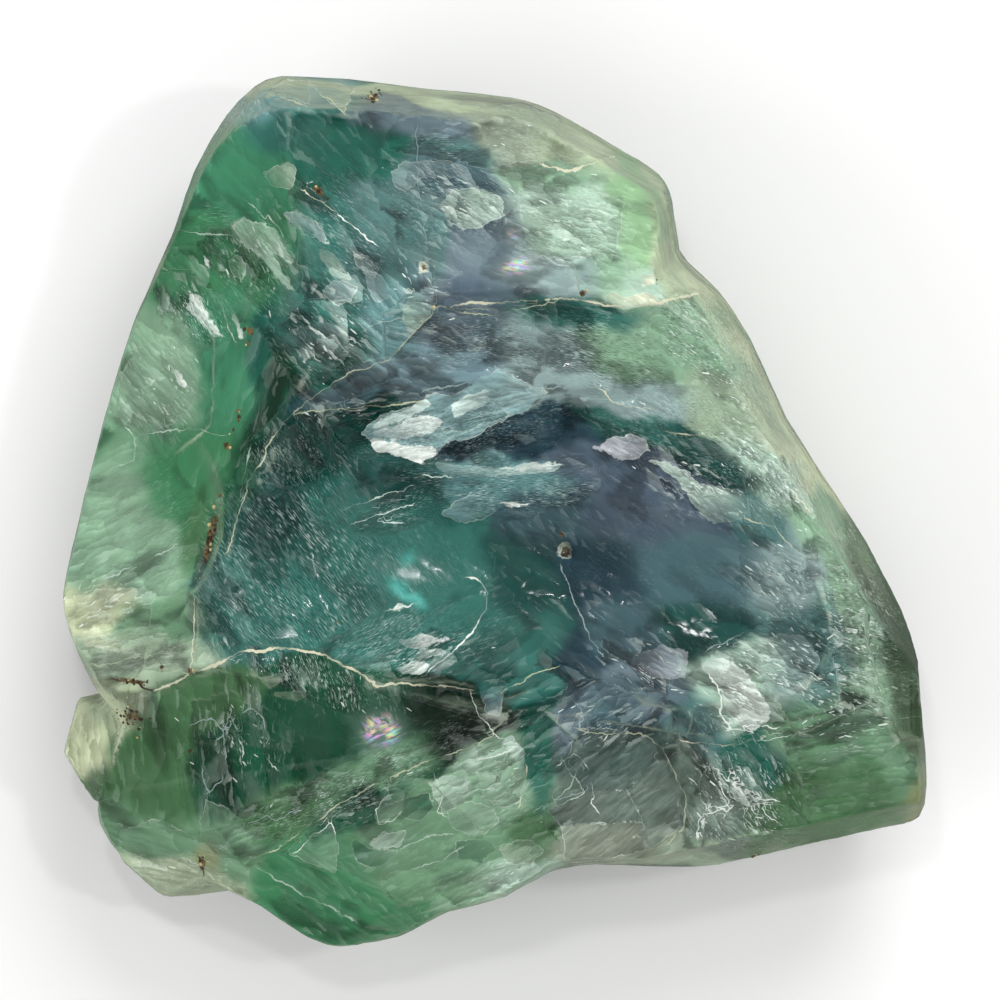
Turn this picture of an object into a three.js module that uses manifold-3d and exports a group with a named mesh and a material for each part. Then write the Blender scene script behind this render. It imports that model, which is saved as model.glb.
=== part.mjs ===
// A rough fluorite specimen: one broken lump that lies on a flat cleavage face.
// Millimetres, +Z up. The origin is on the rest face, under the middle of the outline.
// The lump starts as a blank with the stone's outline. Cleavage planes split flat faces off it,
// scoops take out the shell-shaped hollows that a blow leaves, and flakes leave flat-floored scars.
import * as THREE from "three";
import { mergeVertices } from "three/addons/utils/BufferGeometryUtils.js";
import Module from "manifold-3d";

const wasm = await Module();
wasm.setup();

// Driving dimensions
const crestHeight = 44; // blank's top, before the faces are split off
const stepsPerCorner = 2; // points around the blank for each corner of its outline
const cutSize = 200; // side of a cutting block, larger than the stone
const scoopReach = 60; // degrees round its ball that a scoop's rim lies
const flakeRise = 0.75; // rise of a flake scar's floor to its middle, as a share of its depth
const heart = new THREE.Vector3(0, -2, 14); // a point that stays inside the stone

// The stone's outline seen from above, clockwise from its upper left corner
const outline = [
  [-21.0, 43.6], [-5.5, 42.1], [2.5, 41.2], [6.1, 40.0], [13.0, 36.1], [16.7, 33.8], [18.0, 31.6],
  [18.8, 26.1], [20.5, 24.1], [22.7, 22.1], [26.0, 17.1], [29.5, 9.3], [36.3, -1.1], [40.0, -7.2],
  [42.2, -12.4], [42.9, -18.9], [43.5, -27.4], [42.7, -30.6], [38.5, -32.5], [30.5, -34.5],
  [20.5, -35.6], [10.5, -35.3], [6.0, -36.0], [1.5, -38.5], [-4.5, -40.1], [-9.0, -42.5],
  [-13.7, -43.9], [-18.5, -42.5], [-23.3, -39.4], [-30.5, -36.0], [-36.5, -35.0], [-39.1, -31.9],
  [-39.5, -29.4], [-37.0, -21.4], [-39.3, -18.1], [-40.7, -15.4], [-42.7, -10.1], [-42.5, -6.4],
  [-38.3, 10.6], [-35.5, 19.6], [-32.0, 27.4], [-29.5, 34.3], [-26.7, 39.3], [-23.7, 42.5],
];

// Side of the blank from the rest face up: height, and share of the outline's size there
const side = [
  [0, 0.87], [1.2, 0.905], [4, 0.95], [9, 0.985], [14, 1], [19, 0.998], [25, 0.975], [32, 0.92],
  [39, 0.83], [crestHeight, 0.74],
];

// Lumps of paler fluorite that show past the main body, at its lower left
const lumps = [
  { at: [-37.2, -23.4, 10], size: [6.6, 6.2, 9], turn: 8 },
  { at: [-29.6, -33.8, 9], size: [9.2, 5.4, 9], turn: 12 },
];

// Cleavage faces, each given by three points that it passes through
const faces = {
  left: [[-20, 33, 34.5], [-21, 9, 39], [-38, 10, 19]],
  lowerLeft: [[-25, 0, 39], [-30, -15, 34.5], [-42.5, -8, 17.5]],
  upper: [[-6, 21, 41.5], [-19, 30, 36.5], [-5, 38, 34.5]],
  topRim: [[-22, 40.4, 31], [-2, 39.4, 32], [-10, 43.2, 16]],
  upperRight: [[-4, 21, 41.5], [19, 24, 36], [8, 36, 31]],
  upperRightRim: [[4, 38.8, 29], [16, 31.8, 28.5], [13, 37, 13]],
  right: [[23, 20, 33], [31, 2, 33], [33.5, 4.5, 17]],
  lowerRight: [[33, -4, 33], [38, -18, 30], [43, -13, 16]],
  lower: [[4, -21, 38], [33, -20, 32], [20, -34, 23]],
  lowerRim: [[8, -36.7, 22], [38, -29.9, 22], [22, -36.4, 12]],
  valleySide: [[-30, -16.5, 34], [-12, -18, 39.5], [-38, -30, 19]],
  lowerLobe: [[-20, -38, 26], [0, -34, 29], [-12, -43.8, 14]],
};

// Cleavage faces below the stone's widest level, where it leans in to the rest face
const undersides = {
  back: [[2.5, 41.6, 12], [-21, 43.7, 13.5], [-10, 34, 0]],
  backRight: [[18.7, 31, 11], [2.5, 41.6, 14], [5, 28.5, 0]],
  rightHigh: [[37, -1, 10], [20.5, 24.8, 13], [24.5, 9, 0]],
  rightLow: [[33, -4, 0], [17, 23, 0], [29, 14, 7]],
  rightFront: [[43.8, -28, 13], [41, -8, 11], [36.5, -16, 0]],
  frontRight: [[43.8, -29, 11], [14, -37, 14], [26, -27.5, 0]],
  front: [[12, -36.6, 9], [-14, -45, 13], [-4, -34, 0]],
  frontLeft: [[-13, -45, 12], [-40, -37.6, 10], [-22.5, -32, 0]],
  leftLow: [[-43.4, -8, 12], [-44.2, -30, 11], [-34, -18, 0]],
  leftHigh: [[-38.7, 10.6, 13.5], [-43, -9, 11], [-34.5, 1, 0]],
  backLeft: [[-24.4, 42.8, 13], [-38.7, 10.6, 12], [-23.5, 22.5, 0]],
  backLeftCorner: [[-28, 38, 12], [-20, 44, 10], [-17, 33, 0]],
};

// The notch under the bowl's near rim: its two walls, each given by three points
const notch = {
  upperWall: [[-0.5, -22.3, 37], [-24.5, -25.9, 22.5], [-25, -14.5, 38]],
  lowerWall: [[-0.5, -22.3, 37], [-24.5, -25.9, 22.5], [-24.5, -33.9, 20.8]],
};

// Scoops with a rim plane of their own: middle and lean of the rim, in degrees about X and Y,
// half length and half width, depth, and turn of the long way
const scoops = {
  outerBowl: { at: [5, 3, 39.5], lean: [0, 5], half: [32, 19], depth: 5.5, turn: 8 },
  bowlStep: { at: [5, 0, 38.5], lean: [0, 4], half: [30, 17.2], depth: 6.3, turn: -4 },
  bowl: { at: [4, -6, 37], lean: [0, 3], half: [27, 13.5], depth: 7.5, turn: -6 },
  lens: { at: [17, -8.5, 33.5], lean: [0, 3], half: [15, 9.5], depth: 4.3, turn: -22 },
  leftShelf: { at: [-17, -6, 38], lean: [0, 0], half: [17, 10.5], depth: 3.2, turn: 42 },
};

// Shallow scoops whose rim lies in a cleavage face
const dishes = [
  { on: "left", at: [-33, -1], half: [9.5, 10], depth: 1.4, turn: 80 },
  { on: "left", at: [-28.5, 24], half: [6, 9], depth: 0.9, turn: 60 },
];

// Flake scars on the cleavage faces. Each has a flat floor that starts at a step of the stated
// depth and rises, the way the turn points, until it meets the face again.
const flakes = [
  { on: "left", at: [-32, 14], half: [9, 7], depth: 1.5, turn: 115, sides: 6 },
  { on: "lowerLeft", at: [-38, -13.5], half: [7, 5], depth: 1.4, turn: 200, sides: 5 },
  { on: "upper", at: [-14, 31], half: [11, 7], depth: 1.5, turn: 290, sides: 5 },
  { on: "upper", at: [-8, 27], half: [9, 8], depth: 1.1, turn: 265, sides: 6 },
  { on: "upperRight", at: [0, 32], half: [10, 7], depth: 1.5, turn: 235, sides: 6 },
  { on: "upperRight", at: [9, 27.5], half: [12, 8], depth: 2, turn: 245, sides: 7 },
  { on: "upperRight", at: [15, 23], half: [8, 6], depth: 1.8, turn: 35, sides: 5 },
  { on: "lower", at: [12, -27.5], half: [11, 9], depth: 2, turn: 190, sides: 5 },
  { on: "lower", at: [25, -26], half: [11, 7], depth: 1.7, turn: 280, sides: 6 },
  { on: "lower", at: [37, -25], half: [8, 7], depth: 1.5, turn: 320, sides: 5 },
  { on: "lower", at: [2, -26], half: [9, 6], depth: 1.8, turn: 250, sides: 5 },
  { on: "valleySide", at: [-9, -33], half: [9, 8], depth: 1.8, turn: 215, sides: 6 },
  { on: "lowerRight", at: [40, -13], half: [11, 6], depth: 1.5, turn: 100, sides: 6 },
];

const radians = THREE.MathUtils.degToRad;

// A geometry as a solid that can be cut and joined
function solidOf(geometry) {
  const bare = geometry.clone();
  bare.deleteAttribute("normal");
  bare.deleteAttribute("uv");
  const merged = mergeVertices(bare, 1e-4);
  return new wasm.Manifold(
    new wasm.Mesh({
      numProp: 3,
      vertProperties: merged.attributes.position.array,
      triVerts: new Uint32Array(merged.index.array),
    }),
  );
}

// The blank: the outline stacked in rings up the side profile, closed by flat ends
function blank() {
  const corners = outline.map(([x, y]) => new THREE.Vector3(x, y, 0)).reverse();
  const curve = new THREE.CatmullRomCurve3(corners, true, "centripetal");
  const ring = curve.getPoints(outline.length * stepsPerCorner);
  ring.pop(); // the closed curve repeats its first point
  const points = [];
  for (const [height, share] of side) {
    for (const p of ring) points.push(p.x * share, p.y * share, height);
  }
  const count = ring.length;
  const triangles = [];
  for (let level = 0; level < side.length - 1; level++) {
    for (let i = 0; i < count; i++) {
      const a = level * count + i;
      const b = level * count + ((i + 1) % count);
      triangles.push(a, b, b + count, a, b + count, a + count);
    }
  }
  const flat = ring.map((p) => new THREE.Vector2(p.x, p.y));
  const top = (side.length - 1) * count;
  for (const [a, b, c] of THREE.ShapeUtils.triangulateShape(flat, [])) {
    triangles.push(a, c, b, top + a, top + b, top + c);
  }
  const geometry = new THREE.BufferGeometry();
  geometry.setAttribute("position", new THREE.Float32BufferAttribute(points, 3));
  geometry.setIndex(triangles);
  return solidOf(geometry);
}

// A lump with flat facets
function lump({ at, size, turn }) {
  const chip = new THREE.IcosahedronGeometry(1, 0).rotateZ(radians(turn));
  return solidOf(chip.scale(...size).translate(...at));
}

// The plane through three points, facing out of the stone
function planeOf(points) {
  const plane = new THREE.Plane().setFromCoplanarPoints(...points.map((p) => new THREE.Vector3(...p)));
  return plane.distanceToPoint(heart) > 0 ? plane.negate() : plane;
}

// The turn that takes +Z to a plane's normal
function facing(plane) {
  return new THREE.Quaternion().setFromUnitVectors(new THREE.Vector3(0, 0, 1), plane.normal);
}

// A block that fills everything outside a plane
function splitOff(points) {
  const plane = planeOf(points);
  const middle = plane.projectPoint(heart, new THREE.Vector3());
  const block = new THREE.BoxGeometry(cutSize, cutSize, cutSize).translate(0, 0, cutSize / 2);
  return solidOf(block.applyQuaternion(facing(plane)).translate(...middle));
}

// A ball that is a shell of the stated size and depth below Z 0
function shell({ half, depth, turn }, around, down) {
  const drop = depth / (1 - Math.cos(radians(scoopReach)));
  const spread = 1 / Math.sin(radians(scoopReach));
  const ball = new THREE.SphereGeometry(1, around, down).rotateX(Math.PI / 2);
  ball.scale(half[0] * spread, half[1] * spread, drop).translate(0, 0, drop - depth);
  return ball.rotateZ(radians(turn));
}

// A cutter set down on a cleavage face, above the point x, y
function onFace(cutter, points, [x, y]) {
  const plane = planeOf(points);
  const z = -(plane.normal.x * x + plane.normal.y * y + plane.constant) / plane.normal.z;
  return solidOf(cutter.applyQuaternion(facing(plane)).translate(x, y, z));
}

function scoop(hollow) {
  const ball = shell(hollow, 44, 28);
  ball.rotateX(radians(hollow.lean[0])).rotateY(radians(hollow.lean[1]));
  return solidOf(ball.translate(...hollow.at));
}

function dish(hollow) {
  return onFace(shell(hollow, 30, 18), faces[hollow.on], hollow.at);
}

// A many-sided block with a tilted floor, which goes in at one end and comes out before the other
function flake({ on, at, half, depth, turn, sides }) {
  const block = new THREE.CylinderGeometry(1.25, 1, 1, sides).rotateX(Math.PI / 2).translate(0, 0, 0.5);
  block.scale(half[0], half[1], half[0]).rotateY(-Math.atan(flakeRise * depth / half[0]));
  block.translate(0, 0, (flakeRise - 1) * depth).rotateZ(radians(turn));
  return onFace(block, faces[on], at);
}

function stone() {
  let solid = blank();
  for (const piece of lumps) solid = solid.add(lump(piece));
  for (const points of Object.values({ ...faces, ...undersides })) solid = solid.subtract(splitOff(points));
  for (const hollow of Object.values(scoops)) solid = solid.subtract(scoop(hollow));
  solid = solid.subtract(splitOff(notch.upperWall).intersect(splitOff(notch.lowerWall)));
  for (const hollow of dishes) solid = solid.subtract(dish(hollow));
  for (const scar of flakes) solid = solid.subtract(flake(scar));
  const mesh = solid.getMesh();
  const geometry = new THREE.BufferGeometry();
  geometry.setAttribute("position", new THREE.BufferAttribute(mesh.vertProperties, 3));
  geometry.setIndex(new THREE.BufferAttribute(mesh.triVerts, 1));
  geometry.computeBoundingBox();
  const middle = geometry.boundingBox.getCenter(new THREE.Vector3());
  return geometry.translate(-middle.x, -middle.y, 0);
}

const seaGreen = new THREE.MeshStandardMaterial({ color: 0x3f7a62, roughness: 0.25, metalness: 0 });

const specimen = new THREE.Group();
const fluorite = new THREE.Mesh(stone(), seaGreen);
fluorite.name = "fluorite";
specimen.add(fluorite);

export default specimen;
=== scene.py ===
import itertools
import math
import types

import bmesh
import bpy
import numpy as np
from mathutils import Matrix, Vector


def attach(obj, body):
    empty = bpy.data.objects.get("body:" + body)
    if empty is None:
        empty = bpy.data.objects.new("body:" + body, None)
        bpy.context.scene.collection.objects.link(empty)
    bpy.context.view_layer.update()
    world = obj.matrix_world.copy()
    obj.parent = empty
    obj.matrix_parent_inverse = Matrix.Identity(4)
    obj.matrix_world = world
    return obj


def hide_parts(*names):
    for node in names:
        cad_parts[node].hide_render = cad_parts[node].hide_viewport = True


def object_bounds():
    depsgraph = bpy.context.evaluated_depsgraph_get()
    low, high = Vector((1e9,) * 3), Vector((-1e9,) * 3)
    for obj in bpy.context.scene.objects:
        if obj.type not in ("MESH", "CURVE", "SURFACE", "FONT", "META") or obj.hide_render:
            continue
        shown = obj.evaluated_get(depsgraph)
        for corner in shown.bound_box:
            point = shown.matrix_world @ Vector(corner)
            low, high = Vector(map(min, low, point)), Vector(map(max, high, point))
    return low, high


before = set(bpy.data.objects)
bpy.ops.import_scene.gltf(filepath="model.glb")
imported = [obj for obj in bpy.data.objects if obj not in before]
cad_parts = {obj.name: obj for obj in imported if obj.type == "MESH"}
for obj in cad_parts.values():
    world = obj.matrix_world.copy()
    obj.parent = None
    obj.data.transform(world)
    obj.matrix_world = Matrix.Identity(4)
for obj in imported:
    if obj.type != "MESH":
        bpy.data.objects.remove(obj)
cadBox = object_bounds()
print("frame loaded")

# The photo looks straight down; a pixel is 0.1 mm at the level where the stone is widest
photo = {
    "width": 1000,  # pixels
    "middle": (500.0, 500.0),  # pixel in the middle of the picture
    "lookAt": (0.0005, 0.00115),  # the point under it, metres
    "pixel": 0.0001,
    "level": 0.014,
    "cameraHeight": 2.0,
    "sensor": 36.0,  # mm
}
photoScale = photo["pixel"] * 1000  # mm a pixel

# Colours of the stone, as light (linear)
palette = {
    "leaf": (0.064, 0.216, 0.124), "jade": (0.056, 0.185, 0.092), "fern": (0.125, 0.23, 0.14),
    "moss": (0.066, 0.15, 0.07), "bottle": (0.014, 0.082, 0.043), "nightGreen": (0.0, 0.016, 0.006),
    "milkGreen": (0.205, 0.325, 0.225), "glowGreen": (0.205, 0.33, 0.195), "paleGreen": (0.28, 0.36, 0.265),
    "sage": (0.31, 0.37, 0.255), "bone": (0.44, 0.48, 0.33), "cream": (0.6, 0.59, 0.43),
    "olive": (0.19, 0.216, 0.11), "darkOlive": (0.036, 0.07, 0.032), "deepTeal": (0.022, 0.118, 0.085),
    "teal": (0.045, 0.15, 0.125), "darkTeal": (0.02, 0.078, 0.068), "abyss": (0.003, 0.05, 0.038),
    "dusk": (0.08, 0.165, 0.158), "seaBlue": (0.125, 0.24, 0.24), "duskSlate": (0.062, 0.114, 0.13),
    "slate": (0.11, 0.155, 0.178), "paleSlate": (0.15, 0.222, 0.246), "indigo": (0.024, 0.056, 0.075),
    "plum": (0.082, 0.114, 0.148), "smoke": (0.12, 0.165, 0.136), "darkSmoke": (0.06, 0.1, 0.086),
    "paleSmoke": (0.216, 0.254, 0.195), "mist": (0.24, 0.32, 0.312), "frost": (0.34, 0.455, 0.37),
    "ice": (0.59, 0.72, 0.65), "snow": (0.78, 0.84, 0.78), "lilac": (0.42, 0.44, 0.475),
    "aqua": (0.23, 0.375, 0.375), "turquoise": (0.11, 0.38, 0.34), "lensTeal": (0.07, 0.13, 0.146),
    "rust": (0.15, 0.094, 0.036), "umber": (0.04, 0.022, 0.01),
}

# Colour zones of the body, with painted shade and light taken in along with the stone's own colour: colour, middle
# and half sizes in photo pixels, turn in degrees
zones = [
    ("leaf", 235, 175, 36, 40, 0), ("seaBlue", 272, 108, 34, 16, -20), ("teal", 282, 128, 40, 20, -20),
    ("sage", 300, 84, 60, 9, 8), ("jade", 196, 262, 28, 36, 20), ("leaf", 226, 318, 26, 34, 20),
    ("leaf", 226, 388, 26, 44, 12), ("milkGreen", 158, 380, 34, 46, 10), ("jade", 176, 468, 44, 36, 0),
    ("milkGreen", 122, 500, 20, 50, 15), ("milkGreen", 128, 562, 42, 34, -20),
    ("bone", 90, 606, 32, 20, -10), ("fern", 156, 620, 36, 18, 0), ("paleGreen", 130, 652, 46, 16, 0),
    ("moss", 196, 520, 12, 40, 15), ("jade", 210, 470, 26, 60, 15), ("bottle", 252, 450, 18, 60, 18),
    ("jade", 270, 260, 40, 40, 30), ("deepTeal", 262, 345, 10, 50, 8), ("deepTeal", 350, 148, 42, 32, 0),
    ("slate", 385, 118, 34, 14, 10), ("dusk", 400, 212, 40, 34, 0), ("teal", 318, 250, 34, 44, 20),
    ("teal", 318, 305, 34, 34, 0), ("seaBlue", 388, 322, 30, 30, -30), ("dusk", 360, 262, 30, 26, 0),
    ("deepTeal", 350, 352, 30, 16, -20), ("slate", 450, 132, 24, 14, 0), ("dusk", 462, 150, 36, 12, 0),
    ("duskSlate", 440, 192, 36, 22, 0), ("slate", 482, 262, 42, 38, 0), ("plum", 470, 288, 30, 14, 0),
    ("dusk", 436, 240, 12, 34, 0), ("paleSmoke", 515, 124, 46, 26, 10), ("sage", 574, 146, 38, 22, 20),
    ("sage", 430, 98, 110, 7, 5), ("milkGreen", 560, 180, 36, 12, 0), ("frost", 572, 224, 44, 34, 0),
    ("glowGreen", 636, 212, 20, 46, -8), ("sage", 666, 236, 11, 56, -12), ("mist", 548, 270, 44, 18, 0),
    ("frost", 640, 282, 34, 14, 0), ("sage", 690, 286, 12, 16, -30), ("milkGreen", 610, 272, 20, 18, 0),
    # the teal strip at 576, 318 under the ledge is a painted shadow
    ("slate", 458, 332, 44, 20, 6), ("mist", 540, 348, 44, 18, 8), ("teal", 576, 318, 44, 12, 4),
    ("paleSlate", 420, 368, 54, 14, -14), ("duskSlate", 350, 396, 44, 8, -14),
    ("milkGreen", 716, 336, 56, 26, 20), ("bone", 766, 372, 16, 56, -28),
    ("milkGreen", 640, 352, 50, 22, 12), ("mist", 610, 388, 50, 14, 10),
    ("paleGreen", 740, 408, 46, 18, 28), ("teal", 640, 428, 36, 12, 12), ("darkTeal", 722, 458, 46, 12, 30),
    ("frost", 772, 466, 34, 20, 40), ("bone", 806, 462, 14, 34, -35), ("abyss", 292, 448, 36, 30, -30),
    ("abyss", 330, 424, 36, 14, -10), ("darkTeal", 262, 520, 26, 40, 20), ("teal", 250, 580, 34, 46, 20),
    ("teal", 350, 520, 46, 30, 0), ("teal", 350, 585, 60, 40, 0), ("darkTeal", 400, 480, 34, 16, 0),
    ("teal", 420, 545, 40, 24, -20), ("teal", 450, 600, 30, 34, 0), ("teal", 512, 640, 34, 32, 0),
    ("darkTeal", 526, 580, 34, 34, 0), ("seaBlue", 500, 482, 56, 14, 0), ("indigo", 530, 434, 46, 14, 0),
    ("duskSlate", 548, 516, 34, 26, 0), ("plum", 630, 512, 52, 32, 14), ("indigo", 598, 572, 34, 30, 20),
    ("duskSlate", 628, 620, 34, 24, 20), ("lensTeal", 704, 566, 60, 34, 16),
    ("darkTeal", 700, 620, 44, 18, 0), ("plum", 590, 470, 34, 14, 14), ("mist", 786, 574, 34, 34, 20),
    ("dusk", 800, 622, 34, 20, 10), ("dusk", 762, 530, 34, 14, 30), ("plum", 690, 510, 34, 14, 24),
    ("milkGreen", 826, 540, 20, 34, -30), ("milkGreen", 862, 612, 32, 44, -10),
    # the darkOlive zones along the right wall are painted shade
    ("darkOlive", 902, 610, 22, 70, -14), ("moss", 880, 540, 16, 34, -28),
    ("darkOlive", 912, 692, 22, 60, -5), ("frost", 762, 672, 44, 26, 0), ("dusk", 812, 664, 34, 34, 0),
    ("milkGreen", 862, 700, 34, 34, 0), ("fern", 838, 732, 40, 24, 0), ("moss", 850, 788, 50, 28, -10),
    ("fern", 896, 756, 20, 34, 0), ("olive", 916, 802, 16, 20, 0), ("sage", 856, 842, 60, 8, -10),
    ("deepTeal", 750, 770, 20, 22, 40), ("smoke", 690, 766, 14, 30, -20), ("smoke", 610, 808, 34, 30, 0),
    ("darkSmoke", 610, 758, 36, 20, 0), ("paleSmoke", 610, 846, 50, 13, -4), ("smoke", 716, 812, 30, 24, 0),
    ("paleGreen", 730, 850, 60, 9, -6), ("moss", 780, 824, 26, 18, 0), ("slate", 640, 692, 40, 18, 0),
    ("duskSlate", 598, 716, 34, 16, 0), ("slate", 572, 720, 14, 24, 0), ("dusk", 700, 716, 26, 24, 0),
    ("frost", 730, 690, 26, 26, 30), ("deepTeal", 532, 760, 10, 44, 0), ("indigo", 580, 662, 24, 16, 30),
    # the nightGreen zone in the valley that faces down is painted shade
    ("teal", 530, 680, 30, 14, -20), ("nightGreen", 440, 718, 50, 20, -6), ("bottle", 372, 722, 40, 24, 10),
    ("bottle", 302, 740, 46, 34, -20), ("bottle", 330, 690, 34, 14, 24), ("moss", 200, 706, 34, 20, -20),
    ("moss", 150, 776, 34, 40, 0), ("bottle", 236, 768, 34, 34, 0), ("sage", 120, 716, 22, 20, 0),
    ("bone", 86, 744, 22, 26, 0), ("fern", 350, 772, 70, 14, -24), ("moss", 290, 810, 44, 20, -26),
    ("jade", 330, 900, 50, 40, 20), ("jade", 300, 880, 34, 24, 20), ("fern", 450, 850, 40, 24, 0),
    ("fern", 400, 862, 40, 34, 0), ("milkGreen", 500, 786, 26, 34, 0), ("frost", 512, 880, 32, 14, -16),
    ("fern", 480, 900, 46, 20, -20), ("jade", 380, 930, 50, 16, -10), ("fern", 150, 832, 36, 22, 10),
    ("sage", 184, 882, 44, 16, 8), ("fern", 236, 856, 24, 24, 0), ("olive", 205, 864, 12, 14, 0),
    # the turquoise zones are the stone's colour brightened as painted glow
    ("turquoise", 410, 591, 22, 6, 35), ("turquoise", 405, 556, 10, 8, -30),
    ("bottle", 350, 816, 30, 16, -20), ("moss", 526, 840, 16, 26, 0),
]

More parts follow.
